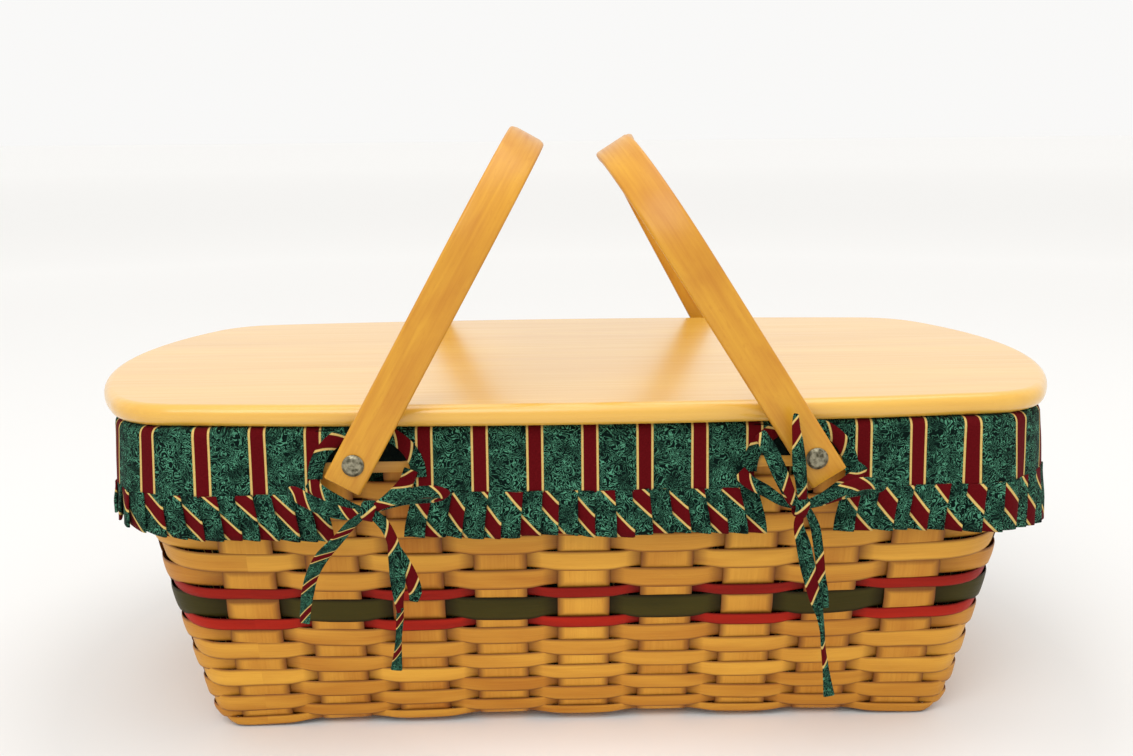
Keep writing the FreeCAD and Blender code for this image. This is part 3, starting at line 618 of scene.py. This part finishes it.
def base_wave(out, parity, axis, pitch, crossings):
    """Height of a base strip that passes over and under the strips that cross it."""
    side = 1 if axis else -1
    return BASE_MIDDLE + side * BASE_WAVE * np.cos(math.pi * (out / pitch + (crossings - 1) / 2 + parity))


def make_stake(number, axis):
    """A stake, up one wall, under the base and up the other; axis 1 crosses the basket, 0 runs along it."""
    count, pitch = ((LONG_STAKES, LONG_PITCH), (CROSS_STAKES, CROSS_PITCH))[axis]
    crossings, crossing_pitch = ((CROSS_STAKES, CROSS_PITCH), (LONG_STAKES, LONG_PITCH))[axis]
    half, half_painted_shade = stake_half(number + 1 - axis, axis, crossing_pitch, crossings)
    shade = np.concatenate([half_painted_shade, half_painted_shade[-2::-1]])
    path = np.vstack([half * (-1, 1), half[-2::-1]])
    tangent = directions(path)
    normal = np.stack([-tangent[:, 1], tangent[:, 0]], axis=1)
    across, lift = STRIP_OUTLINE.T
    side = pitch * (number - (count - 1) / 2) + STAKE_WIDTH / 2 * across
    out = path[:, :1] + normal[:, :1] * lift * STAKE_THICKNESS
    z = path[:, 1:] + normal[:, 1:] * lift * STAKE_THICKNESS
    x, y = (side, out) if axis else (out, side)
    points = stacked(x, y, z + base_arch(x, z))
    strip_number = STAKES_APART + number * STRIPS_APART + axis * LAYERS_APART
    pattern = stacked(path_length(path)[:, None], GRAIN_SPREAD * across, strip_number)
    return Shell().grid(points, pattern, closed=True, caps=True, shade=shade[:, None])


def weave_basket():
    for row, (name, height, width) in enumerate(ROWS):
        paint, slot = NATURAL, "weaver_wood"
        if "red" in name:
            paint, slot = RED, "weaver_red"
        elif "green" in name:
            paint, slot = OLIVE, "weaver_green"
        piece = make_weaver(row, height, width).make(f"woven_{name}", paint)
        dress(piece, "basket", slot, name)
    for axis, count, kind in ((1, CROSS_STAKES, "cross_stake"), (0, LONG_STAKES, "long_stake")):
        for number in range(count):
            name = f"{kind}_{number + 1}"
            dress(make_stake(number, axis).make(f"bent_{name}", NATURAL), "basket", "stake_wood", name)


# Handles

def strap_path():
    """Centre line of a handle in its plane, from front foot to back foot: distance forward and height."""
    half_span = STRAP_FACE - STRAP_THICKNESS / 2
    radius = HANDLE_CORNER - STRAP_THICKNESS / 2
    spring = HANDLE_RISE - HANDLE_CORNER
    bend = half_span - radius
    turns = np.radians(np.linspace(0, 90, SHOULDER_STEPS))
    leg = [(half_span, height) for height in np.linspace(FOOT_ROUND - FOOT_LENGTH, spring, LEG_STEPS)]
    shoulder = [(bend + radius * math.cos(turn), spring + radius * math.sin(turn)) for turn in turns[1:]]
    crown = [(along, spring + radius) for along in np.linspace(bend, 0, CROWN_STEPS)[1:]]
    half = np.array([(half_span, -FOOT_LENGTH)] + leg + shoulder + crown)
    return np.vstack([half, (half * (-1, 1))[-2::-1]])


def strap_section(inset):
    """Section of a strap: a rectangle with rounded corners, drawn in by an inset."""
    corner = np.array([STRAP_WIDTH, STRAP_THICKNESS]) / 2 - STRAP_EDGE
    turns = np.radians(np.arange(0, 91, EDGE_TURN))
    quarters = []
    for quarter, sides in enumerate(((1, 1), (-1, 1), (-1, -1), (1, -1))):
        turn = turns + quarter * math.pi / 2
        reach = (STRAP_EDGE - inset) * stacked(np.cos(turn), np.sin(turn))
        quarters.append(corner * sides + reach)
    return np.vstack(quarters)


def make_strap(name, side):
    """A handle: the strap's section carried along its path, leaned, and wound aside at its far shoulder."""
    path = strap_path()
    tangent = directions(path)
    normal = np.stack([tangent[:, 1], -tangent[:, 0]], axis=1)
    inset = np.zeros(len(path))
    inset[[0, -1]] = STRAP_EDGE / 2
    section = np.stack([strap_section(drawn) for drawn in inset])
    across, lift = section[..., 0], section[..., 1]
    forward = path[:, :1] + normal[:, :1] * lift
    height = path[:, 1:] + normal[:, 1:] * lift
    lean = math.asin((PIVOT_X - CROWN_REACH[name]) / HANDLE_RISE)
    rise = np.clip(height / HANDLE_RISE, 0, 1)
    wound = WIND_SHARE * STRAP_FACE
    wind = CROWN_WIND[name] * rise * smooth_step(-forward, -wound, wound)
    x = side * PIVOT_X + across * math.cos(lean) - side * height * math.sin(lean) + wind
    z = PIVOT_HEIGHT + height * math.cos(lean) + side * across * math.sin(lean)
    pattern = stacked(path_length(path)[:, None], across, lift + HANDLES_APART * side)
    return Shell().grid(stacked(x, -forward, z), pattern, closed=True, caps=True)


def make_handles():
    for name, side in (("left", -1), ("right", 1)):
        strap = make_strap(name, side).make(f"bent_{name}_strap", HANDLE_WOOD)
        dress(strap, f"{name}_handle", "handle_wood", f"{name}_handle_strap")


# Skirt, ruffle and bindings

def slit_half_width(drop):
    """Half width of a handle slit at a depth under the rim: a round arch that narrows to the hem."""
    rise = np.clip(1 - drop / ARCH_HEIGHT, 0, 1)
    hem = SKIRT_DROP + RUFFLE_DROP
    narrowing = (ARCH_HALF_WIDTH - SLIT_HEM_HALF_WIDTH) * smooth_step(drop, ARCH_HEIGHT, hem)
    return ARCH_HALF_WIDTH * np.sqrt(1 - rise**2) - narrowing


SLIT_RUN = PIVOT_X - ARCH_SHIFT
PANELS = {
    "front": (-SLIT_RUN, SLIT_RUN),
    "right": (SLIT_RUN, RIM_LENGTH / 2 - SLIT_RUN),
    "back": (RIM_LENGTH / 2 - SLIT_RUN, RIM_LENGTH / 2 + SLIT_RUN),
    "left": (SLIT_RUN - RIM_LENGTH / 2, -SLIT_RUN),
}
SLITS = {
    "front_left": -SLIT_RUN, "front_right": SLIT_RUN,
    "back_right": RIM_LENGTH / 2 - SLIT_RUN, "back_left": RIM_LENGTH / 2 + SLIT_RUN,
}


def end_lean(run, drop):
    """How far the cloth hangs in at the two ends, where the wall under it draws in, at a depth."""
    out_x = np.interp(run % RIM_LENGTH, RIM_RUNS, RIM_RING[:, 2])
    most = np.where(out_x < 0, LEFT_LEAN, RIGHT_LEAN)
    return most * np.abs(out_x)**LEAN_POWER * smooth_step(drop, LEAN_START, SKIRT_DROP + RUFFLE_DROP)


def skirt_offset(run, drop):
    """How far the skirt stands off the rim at a depth: round at the top, flared and folded at the hem."""
    share = drop / SKIRT_DROP
    flare = SKIRT_FLARE * share**FLARE_POWER + SKIRT_FOLD * waves(run, SKIRT_WAVES) * share
    rounding = ROLL_INSET * (1 - smooth_step(drop, 0, ROLL_DEPTH))
    return SKIRT_OFFSET - rounding + flare - end_lean(run, drop)


def make_skirt(start, end):
    """A plain panel, rolled over the rim and down to the ruffle, with its slit edges cut to the arch."""
    roll_offset, roll_drop = np.array(SKIRT_ROLL).T[..., None]
    drop = np.vstack([roll_drop, np.linspace(SKIRT_START, SKIRT_DROP, SKIRT_ROWS)[:, None]])
    share = np.linspace(0, 1, int((end - start) / CLOTH_STEP))
    inset = slit_half_width(drop)
    run = start + inset + (end - start - 2 * inset) * share
    offset = skirt_offset(run, drop)
    offset[:len(SKIRT_ROLL)] = roll_offset
    points = rim(run, offset, SKIRT_TOP - drop)
    return Shell().grid(points, stacked(run, drop, 0.0))


def pleat_line(start, end, seed):
    """Runs and lifts along a row of knife pleats, and the length of cloth used up to each point."""
    random = np.random.default_rng(seed)
    count = round((end - start) / PLEAT_PITCH)
    edges = np.linspace(start, end, count + 1)
    edges[1:-1] += random.uniform(-PLEAT_SHIFT, PLEAT_SHIFT, count - 1)
    corners = []
    for left, right in zip(edges, edges[1:]):
        depth = random.uniform(*PLEAT_DEPTH_SHARES)
        corners += [(left + along * (right - left), lift * depth) for along, lift in PLEAT_SHARES]
    corners.append((edges[-1], PLEAT_SHARES[0][1]))
    line = smooth_path(corners, PLEAT_STEPS)
    return line[:, 0], line[:, 1], path_length(line * (1, PLEAT_DEPTH))


def make_ruffle(start, end, seed):
    """A strip of knife pleats under a skirt panel, flared and a little wavy at its hem, cut on the bias."""
    inset = slit_half_width(SKIRT_DROP)
    run, lift, used = pleat_line(start + inset, end - inset, seed)
    share = np.linspace(0, 1, RUFFLE_ROWS)[:, None]
    drop = SKIRT_DROP - RUFFLE_OVERLAP + RUFFLE_DROP * share
    flare = RUFFLE_FLARE + FLARE_WAVE * waves(run, RUFFLE_WAVES, seed)
    lean = end_lean(run, SKIRT_DROP) - end_lean(run, drop)
    base = skirt_offset(run, SKIRT_DROP) + lean - RUFFLE_INSET + flare * share
    opening = PLEAT_TOP + PLEAT_OPENING * smooth_step(share, 0, OPEN_BY)
    offset = base + PLEAT_DEPTH * lift * opening
    middle = (start + end) / 2
    narrow = (slit_half_width(drop) - inset) / ((end - start) / 2 - inset)
    drawn = run + (middle - run) * narrow
    out_x = np.interp(run % RIM_LENGTH, RIM_RUNS, RIM_RING[:, 2])
    hem = (waves(run, HEM_WAVES, seed) - HEM_TILT * out_x) * share
    points = rim(drawn, offset, SKIRT_TOP - drop + hem)
    down = drop - SKIRT_DROP
    return Shell().grid(points, stacked((used - down) / BIAS, (used + down) / BIAS, 0.0))


# A folded tape's section, as shares of its half width and its thickness
RIBBON_SHARES = np.array([
    (-1, 0), (-0.8, 0.42), (-0.3, 0.5), (0.3, 0.5), (0.8, 0.42), (1, 0),
    (0.8, -0.42), (0.3, -0.5), (-0.3, -0.5), (-0.8, -0.42),
])


def add_ribbon(shell, path, widths, twists, thickness, outward, first_stripe, wind=(1.0, 1.0)):
    """Adds a folded bias tape along a path, its flat side turned outward and twisted by the given degrees.

    The first burgundy stripe is at its distance along the tape; wind crowds the stripes along and across.
    """
    tangent = directions(path)
    side = np.empty_like(path)
    last = np.cross(tangent[0], outward)
    for i, direction in enumerate(tangent):
        last = last - direction * last.dot(direction)
        last = last / np.linalg.norm(last)
        side[i] = last
    face = np.cross(side, tangent)
    turn = np.radians(twists)[:, None]
    across_way = side * np.cos(turn) + face * np.sin(turn)
    lift_way = face * np.cos(turn) - side * np.sin(turn)
    across, lift = RIBBON_SHARES.T
    reach = widths[:, None] / 2 * across
    raised = (lift * thickness)[None, :, None]
    points = path[:, None] + reach[..., None] * across_way[:, None] + raised * lift_way[:, None]
    along = wind[0] * (path_length(path) - first_stripe)[:, None] / BIAS
    aside = wind[1] * reach / BIAS
    pattern = stacked(STRIPE_MIDDLE + along - aside, along + aside, 0.0)
    shell.grid(points, pattern, closed=True, caps=True)


def make_binding(slit_run):
    """Bias tape round the arch of a slit."""
    angle = np.linspace(-math.pi / 2, math.pi / 2, ARCH_STEPS)
    stand = BINDING_WIDTH / 2 - BINDING_LAP
    drop = ARCH_HEIGHT * (1 - np.cos(angle)) + BINDING_DROP
    run = slit_run + (ARCH_HALF_WIDTH + stand) * np.sin(angle)
    path = rim(run, skirt_offset(run, drop) + BINDING_LIFT, SKIRT_TOP - drop)
    outward = rim(slit_run, 1.0, 0.0) - rim(slit_run, 0.0, 0.0)
    shell, widths = Shell(), np.full(len(path), BINDING_WIDTH)
    add_ribbon(shell, path, widths, np.zeros(len(path)), BINDING_THICKNESS, outward, BINDING_STRIPE)
    return shell


def make_facing(slit_run, pivot_run):
    """The cloth seen in a slit, on the upper part of the rim band, arched over the rivet's spacer, in the
    darker copy of the striped cloth: painted shade under the lid.
    """
    high = RIM_TOP - FACING_GAP - PIVOT_HEIGHT
    dip = math.asin(FACING_DIP / FACING_HOLE)
    turn = np.linspace(-dip, math.pi + dip, ARCH_STEPS)
    right, up = np.cos(turn), np.sin(turn)
    side = ARCH_HALF_WIDTH + FACING_LAP + np.sign(right) * (slit_run - pivot_run)
    to_side = side / np.maximum(np.abs(right), LEAST_SLOPE)
    to_edge = np.where(up > 0, high, FACING_DIP) / np.maximum(np.abs(up), LEAST_SLOPE)
    outer = np.maximum(np.minimum(to_side, to_edge), FACING_HOLE + FACING_LEAST)
    share = np.linspace(0, 1, FACING_ROWS)[:, None]
    radius = FACING_HOLE * (1 - share) + outer * share
    run, z = pivot_run + radius * right, PIVOT_HEIGHT + radius * up
    return Shell().grid(rim(run, BAND_THICKNESS + FACING_STAND, z), stacked(run, z, 0.0))


# Bows: each tape's kind, the distance to its first stripe, and its points

LEFT_BOW = (
    ("tie", 48, (
        (-27, -17.5, -13.5, 8, 0), (-20.5, -12, -18, 8, 0), (-9.5, -4, -21.5, 7, 0), (1, 3, -23.5, 5, 0),
        (7.5, 5, -24, 4, 0))),
    ("tie", 48, (
        (29.5, -17, -7.5, 8, 0), (26.5, -13, -14, 8, 0), (20, -5, -19, 7, 0), (13, 3, -22, 5, 0),
        (9, 5, -23.5, 4, 0))),
    ("loop", 7, (
        (5.5, 6, -25.5, 4.5, 0), (-3.5, 10, -24, 7, 0), (-13.5, 12, -20.5, 8, 0), (-23, 12, -16, 8, 0),
        (-30, 11, -12, 7.5, 0), (-33.5, 8, -12.5, 6, 0), (-29, 5.5, -16.5, 6, 0), (-18, 5, -21.5, 6, 0),
        (-4.5, 5, -24.5, 5, 0), (6, 5, -25.5, 4, 0))),
    ("tie", 46, (
        (9.5, 6, -23.5, 4.5, 0), (18.5, 9, -18, 6.5, 0), (28, 11, -14.5, 7, 0), (38, 12, -12, 7, 0),
        (46.5, 11, -12.5, 6.5, 0), (50.5, 8, -15.5, 5.5, 0), (43.5, 5.5, -18.5, 5.5, 0),
        (30.5, 5, -19.5, 5.5, 0), (18.5, 5, -22, 5, 0), (10, 5, -25, 4, 0))),
    ("tail", 15, (
        (6, 7, -25, 4, 0), (-0.5, 8.5, -30, 6, 20), (-9, 8, -39.5, 7, 25), (-18, 6, -49.5, 7.5, 10),
        (-24, 4, -60, 7, 0), (-27, 3, -70, 7, 0), (-29, 2, -80, 6.5, -10), (-30, 1.5, -89, 6, -10))),
    ("tie", 19, (
        (9, 7, -24.5, 4.5, 0), (14, 9, -27.5, 6.5, 0), (18, 9, -33, 6, 10), (21, 8, -41.5, 6.5, 0),
        (22, 6.5, -51.5, 8.5, -10), (22.5, 5, -63.5, 8.5, 0), (22.5, 4, -74, 6, 20),
        (23, 3, -83, 4, 30))),
    ("tail", 7, (
        (23, 3, -80.5, 4, 0), (22.5, 2.5, -89, 4.2, 20), (21.5, 2, -98.5, 4.2, 40),
        (20.5, 1.5, -109, 5, 20), (19.5, 1, -118, 6.5, 0))),
    ("tie", -18, (
        (21.5, 6, -42, 3, 0), (26, 4.5, -52.5, 5.5, 10), (29.5, 3.5, -62.5, 7.5, 0),
        (31.5, 3, -71, 7.5, 0), (30.5, 2.5, -77, 5, 0))),
)
LEFT_KNOT = (8, 5, -24)
RIGHT_BOW = (
    ("tie", 4, (
        (-39.5, -17, -12, 8, 0), (-34.5, -13, -16.5, 7.5, 0), (-26.5, -7, -20, 7, 0),
        (-19.5, 0, -23.5, 5.5, 0), (-13.5, 4.5, -25, 4, 0))),
    ("tie", 12, (
        (29.5, -17, -8.5, 8, 0), (25, -13, -14, 7.5, 0), (15, -6, -18, 7, 0), (3, 1, -22.5, 5.5, 0),
        (-5.5, 4.5, -25, 4, 0))),
    ("tie", 2, (
        (-8.5, 6, -23, 4.5, 0), (-10.5, 10, -10.5, 6.5, 0), (-12.5, 12.5, 1.5, 7.5, 0),
        (-13.5, 12.5, 12.5, 6, 0), (-14.5, 11, 21, 4.2, 0), (-14, 9, 26.5, 3, 0), (-13, 7, 20, 3.5, 0),
        (-11, 6, 6.5, 4.5, 0), (-8.5, 5.5, -10.5, 4.5, 0), (-7.5, 5, -23, 4, 0))),
    ("tie", 10, (
        (-12.5, 6, -24, 4.5, 0), (-17.5, 9, -14, 6.5, 0), (-23.5, 11, -1.5, 8, 0), (-28.5, 11, 8.5, 8, 0),
        (-31.5, 9.5, 14, 7, 0), (-32.5, 7, 15.5, 6.5, 0), (-28.5, 5.5, 7, 6.5, 0), (-22, 5, -7.5, 6.5, 0),
        (-15.5, 5, -21, 5, 0), (-12, 5, -25.5, 4, 0))),
    ("tie", 31, (
        (-6.5, 6, -24.5, 4.5, 0), (0, 9, -21, 6.5, 0), (9.5, 11, -16, 7, 0), (18.5, 12, -12, 7.5, 0),
        (28, 11, -11.5, 6.5, 0), (35, 8.5, -15, 5.5, 0), (28, 6, -17.5, 5.5, 0), (15.5, 5, -20, 5.5, 0),
        (2.5, 5, -24, 5, 0), (-6, 5, -26, 4, 0))),
    ("tie", 5, (
        (-9, 7, -27, 4, 0), (-11, 8.5, -35, 5.5, 0), (-8, 8, -46.5, 8, 0), (-5, 6.5, -59, 8.5, 0),
        (-2, 5, -70, 8, 0), (0.5, 4.5, -79, 7.5, 10), (3, 4, -88, 5.5, 25), (5, 3.5, -98.5, 3.6, 40),
        (6, 3, -109, 3.2, 40), (7.5, 2.5, -119, 4, 25), (9, 2, -129, 5, 10),
        (10.5, 1.5, -138.5, 6.5, 0))),
    ("tie", 34, (
        (-5.5, 6, -27.5, 4, 0), (-1.5, 6.5, -37, 5.5, -20), (0.5, 6.5, -47.5, 5.5, -20),
        (2, 6, -57.5, 5, -10), (3, 5.5, -65.5, 5, 0), (5, 5, -74.5, 4.5, 0), (6.5, 4, -84.5, 3.5, 0))),
)
RIGHT_KNOT = (-9.5, 5, -26)
STRIPE_WIND = {"tie": (1.05, 1.3), "loop": (1.5, 1.5), "tail": (2.3, 3.2)}
KNOT_STRIPE = 13.0
TAPE_THICKNESS = 1.7
KNOT_REACH, KNOT_LEAN = (4.4, 4.8), 0.8
KNOT_WIDTH, KNOT_SWELL, KNOT_TWIST, KNOT_STEPS = 7.5, 0.8, 12.0, 25
TAPE_STEPS = 9


def make_bow(tapes, knot, pivot_x, facing):
    """The tapes of one bow and the band round its knot; facing is 1 at the front and -1 at the back.

    A tape's point is right, out and up from the pivot on the strap's face, then the width and twist there.
    """
    def placed(points):
        right, out, up = np.asarray(points).T
        return stacked(facing * (pivot_x + right), -facing * (STRAP_FACE + out), PIVOT_HEIGHT + up)

    shell = Shell()
    outward = (0.0, -facing, 0.0)
    for kind, first_stripe, points in tapes:
        line = smooth_path(points, TAPE_STEPS)
        path, widths, twists = placed(line[:, :3]), line[:, 3], line[:, 4]
        add_ribbon(shell, path, widths, twists, TAPE_THICKNESS, outward, first_stripe, STRIPE_WIND[kind])
    turn = np.linspace(0, 2 * math.pi, KNOT_STEPS)
    reach_out, reach_up = KNOT_REACH
    ring = stacked(KNOT_LEAN * np.cos(turn), reach_out * np.sin(turn), reach_up * np.cos(turn))
    band = placed(ring + knot)
    widths = KNOT_WIDTH + KNOT_SWELL * np.sin(2 * turn)
    upward = (0.0, 0.0, 1.0)
    add_ribbon(shell, band, widths, KNOT_TWIST * np.sin(turn), TAPE_THICKNESS, upward, KNOT_STRIPE)
    return shell


# Liner

LINER_OFFSET, LINER_FLOOR, LINER_MARGIN = -8.6, 5.4, 8.0
LINER_ROWS, LINER_STEPS, FLOOR_RINGS, FLOOR_SHARE = 24, 8, 14, 0.93
CREASES = ((1.0, 2.9, 0.0), (0.8, 4.7, 0.02), (0.6, 1.3, -0.03))
CREASE_DEPTH, CREASE_SHARE, CREASE_START = 1.5, 0.4, 6.0
CREASE_FADE, FOOT_FADE = 60.0, 40.0

# The liner's fold, by offset and rise from the rim's top, and its foot, by inset and rise from the floor
LINER_FOLD = ((-1.0, 0.35), (-4.0, 0.35), (-7.0, 0.3), (LINER_OFFSET, -1.5))
LINER_FOOT = ((-1.5, 3.0), (-5.0, 0.6))


def make_liner():
    """The cloth bag: folded over the rim, down the wall with soft creases, and across the floor."""
    phase = np.linspace(0, PHASES, PHASES * LINER_STEPS + 1)
    heights = np.linspace(RIM_TOP - LINER_MARGIN, LINER_FLOOR + LINER_MARGIN, LINER_ROWS)
    section = [(offset, RIM_TOP + rise) for offset, rise in LINER_FOLD]
    section += [(LINER_OFFSET, height) for height in heights]
    section += [(LINER_OFFSET + inset, LINER_FLOOR + rise) for inset, rise in LINER_FOOT]
    offset, z = np.array(section).T[:, :, None]
    under_rim = smooth_step(RIM_TOP - CREASE_START - z, 0, CREASE_FADE)
    depth = CREASE_DEPTH * under_rim * smooth_step(z, LINER_FLOOR, LINER_FLOOR + FOOT_FADE)
    sides = wall(phase % PHASES, z, offset - depth * (1 + CREASE_SHARE * waves(phase, CREASES, z)))
    shares = np.linspace(FLOOR_SHARE, 0, FLOOR_RINGS)[:, None, None]
    floor = sides[-1] * (1, 1, 0) * shares + np.array([0, 0, LINER_FLOOR])
    points = np.vstack([sides, floor])
    points[..., 2] += base_arch(points[..., 0], points[..., 2])
    down = path_length(points[:, 0])[:, None]
    return Shell().grid(points, stacked(path_length(sides[0]), down, 0.0))


# Angle of a sharp fold in the cloth
CLOTH_SHARP = 60


def dress_cloth():
    piece = make_liner().make("cloth_liner", CLOTH, thickness=CLOTH_THICKNESS)
    dress(piece, "basket", "liner_cloth", "liner_bag")
    for seed, (side, (start, end)) in enumerate(PANELS.items(), 1):
        skirt = make_skirt(start, end).make(f"cloth_{side}_skirt", CLOTH, thickness=CLOTH_THICKNESS)
        dress(skirt, "basket", "skirt_cloth", f"{side}_skirt")
        shell = make_ruffle(start, end, seed)
        ruffle = shell.make(f"cloth_{side}_ruffle", CLOTH, CLOTH_SHARP, CLOTH_THICKNESS)
        dress(ruffle, "basket", "ruffle_cloth", f"{side}_ruffle")
    for corner, slit_run in SLITS.items():
        binding = make_binding(slit_run).make(f"cloth_{corner}_binding", CLOTH)
        dress(binding, "basket", "binding_cloth", f"{corner}_binding")
        shift = ARCH_SHIFT if corner in ("front_right", "back_left") else -ARCH_SHIFT
        shell = make_facing(slit_run, slit_run + shift)
        facing = shell.make(f"cloth_{corner}_facing", SHADED_CLOTH, thickness=CLOTH_THICKNESS)
        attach(facing, "basket")
    left, right = (LEFT_BOW, LEFT_KNOT, -PIVOT_X), (RIGHT_BOW, RIGHT_KNOT, PIVOT_X)
    bows = {
        "front_left": (*left, 1), "front_right": (*right, 1),
        "back_right": (*left, -1), "back_left": (*right, -1),
    }
    for corner, bow in bows.items():
        piece = make_bow(*bow).make(f"cloth_{corner}_bow", CLOTH, CLOTH_SHARP)
        dress(piece, "basket", "tie_cloth", f"{corner}_bow")


def finish_solids():
    """Gives each solid that stays its material."""
    finishes = (
        (LID_WOOD, ("lid_board", "left_lid_cleat", "right_lid_cleat")),
        (RIM_WOOD, ("outer_rim_band", "inner_rim_band")),
        (STEEL, ("rim_tacks", "lid_screws", "pivot_rivets", "rivet_spacers", "rivet_burrs")),
    )
    for material, nodes in finishes:
        for node in nodes:
            for place in frame["nodes"][node].material_slots:
                place.material = material


# Stage, in metres

FLOOR_SIZE, FLOOR_NEAR, FLOOR_FAR = 90.0, 0.3, 3.0
CLOUD_SCALE, CLOUD_REACH = 0.8, 0.2
# Painted light: the floor's tone brightens and a glow grows with distance, so that it fades into the white
# background; right at the basket's foot it is painted brighter, where the basket shades it
FLOOR_TONE, FLOOR_FAR_TONE = colour(218, 217, 215), colour(246, 245, 243)
PAINTED_FOOT_LIGHT, FOOT_NEAR, FOOT_FAR = colour(254, 251, 248), 0.15, 0.34
FLOOR_GLOW, GLOW_NEAR, GLOW_FAR = 0.075, 1.0, 12.0
WORLD_TONE, WORLD_STRENGTH = (1.0, 0.995, 0.985, 1.0), 0.95
KEY_LIGHT = {"place": (-0.5, -1.5, 1.6), "target": (0, 0, 0.15), "size": 1.2, "power": 15}
TOP_LIGHT = {"place": (0.2, -0.1, 2.2), "target": (0, 0, 0.1), "size": 1.8, "power": 21}


def make_floor():
    """A pale floor with painted light: its tone brightens and it glows away from the basket, into the white
    of the background, and it is painted brighter right at the basket's foot.
    """
    paint = Paint("white_floor")
    place = paint.place()
    cloud = paint.math("MULTIPLY", paint.noise(place, scale=CLOUD_SCALE, detail=1.0), CLOUD_REACH)
    distance = paint.node("ShaderNodeVectorMath", {0: place}, operation="LENGTH").outputs["Value"]
    far = paint.span(paint.math("ADD", distance, cloud), FLOOR_NEAR, FLOOR_FAR)
    # Painted light: brighter right at the basket's foot, where the basket shades the floor
    foot_light = paint.span(distance, FOOT_FAR, FOOT_NEAR)
    tone = paint.mix(foot_light, paint.mix(far, FLOOR_TONE, FLOOR_FAR_TONE), PAINTED_FOOT_LIGHT)
    glow = paint.span(distance, GLOW_NEAR, GLOW_FAR, 0.0, FLOOR_GLOW)
    paint.set(Base_Color=tone, Emission_Color=WHITE, Emission_Strength=glow, Roughness=0.8,
              Specular_IOR_Level=0.1)
    bpy.ops.mesh.primitive_plane_add(size=FLOOR_SIZE)
    floor = bpy.context.object
    floor.name = "floor"
    floor.data.materials.append(paint.material)


def make_light(name, place, target, size, power):
    """A soft square light at a place, turned to a target, in metres and watts."""
    light = bpy.data.lights.new(name, "AREA")
    light.size = size
    light.energy = power
    lamp = bpy.data.objects.new(name, light)
    bpy.context.collection.objects.link(lamp)
    lamp.location = place
    lamp.rotation_euler = (lamp.location - Vector(target)).to_track_quat("Z", "Y").to_euler()


def make_camera():
    camera = bpy.data.cameras.new("camera")
    camera.lens = LENS
    camera.sensor_width = SENSOR_WIDTH
    camera.sensor_fit = "HORIZONTAL"
    eye = bpy.data.objects.new("camera", camera)
    bpy.context.collection.objects.link(eye)
    turns = ((CAMERA_YAW, "Z"), (CAMERA_PITCH, "X"), (CAMERA_ROLL, "Y"), (90, "X"))
    matrix = Matrix.Translation([value * MM for value in CAMERA_PLACE])
    for degrees, axis in turns:
        matrix = matrix @ Matrix.Rotation(math.radians(degrees), 4, axis)
    eye.matrix_world = matrix
    bpy.context.scene.camera = eye


def light_stage():
    world = bpy.data.worlds.new("studio")
    world.use_nodes = True
    background = world.node_tree.nodes["Background"].inputs
    background["Color"].default_value = WORLD_TONE
    background["Strength"].default_value = WORLD_STRENGTH
    bpy.context.scene.world = world
    bpy.context.scene.view_settings.view_transform = "Standard"
    make_light("key", **KEY_LIGHT)
    make_light("top", **TOP_LIGHT)


weave_basket()
make_handles()
dress_cloth()
finish_solids()
make_floor()
light_stage()
make_camera()
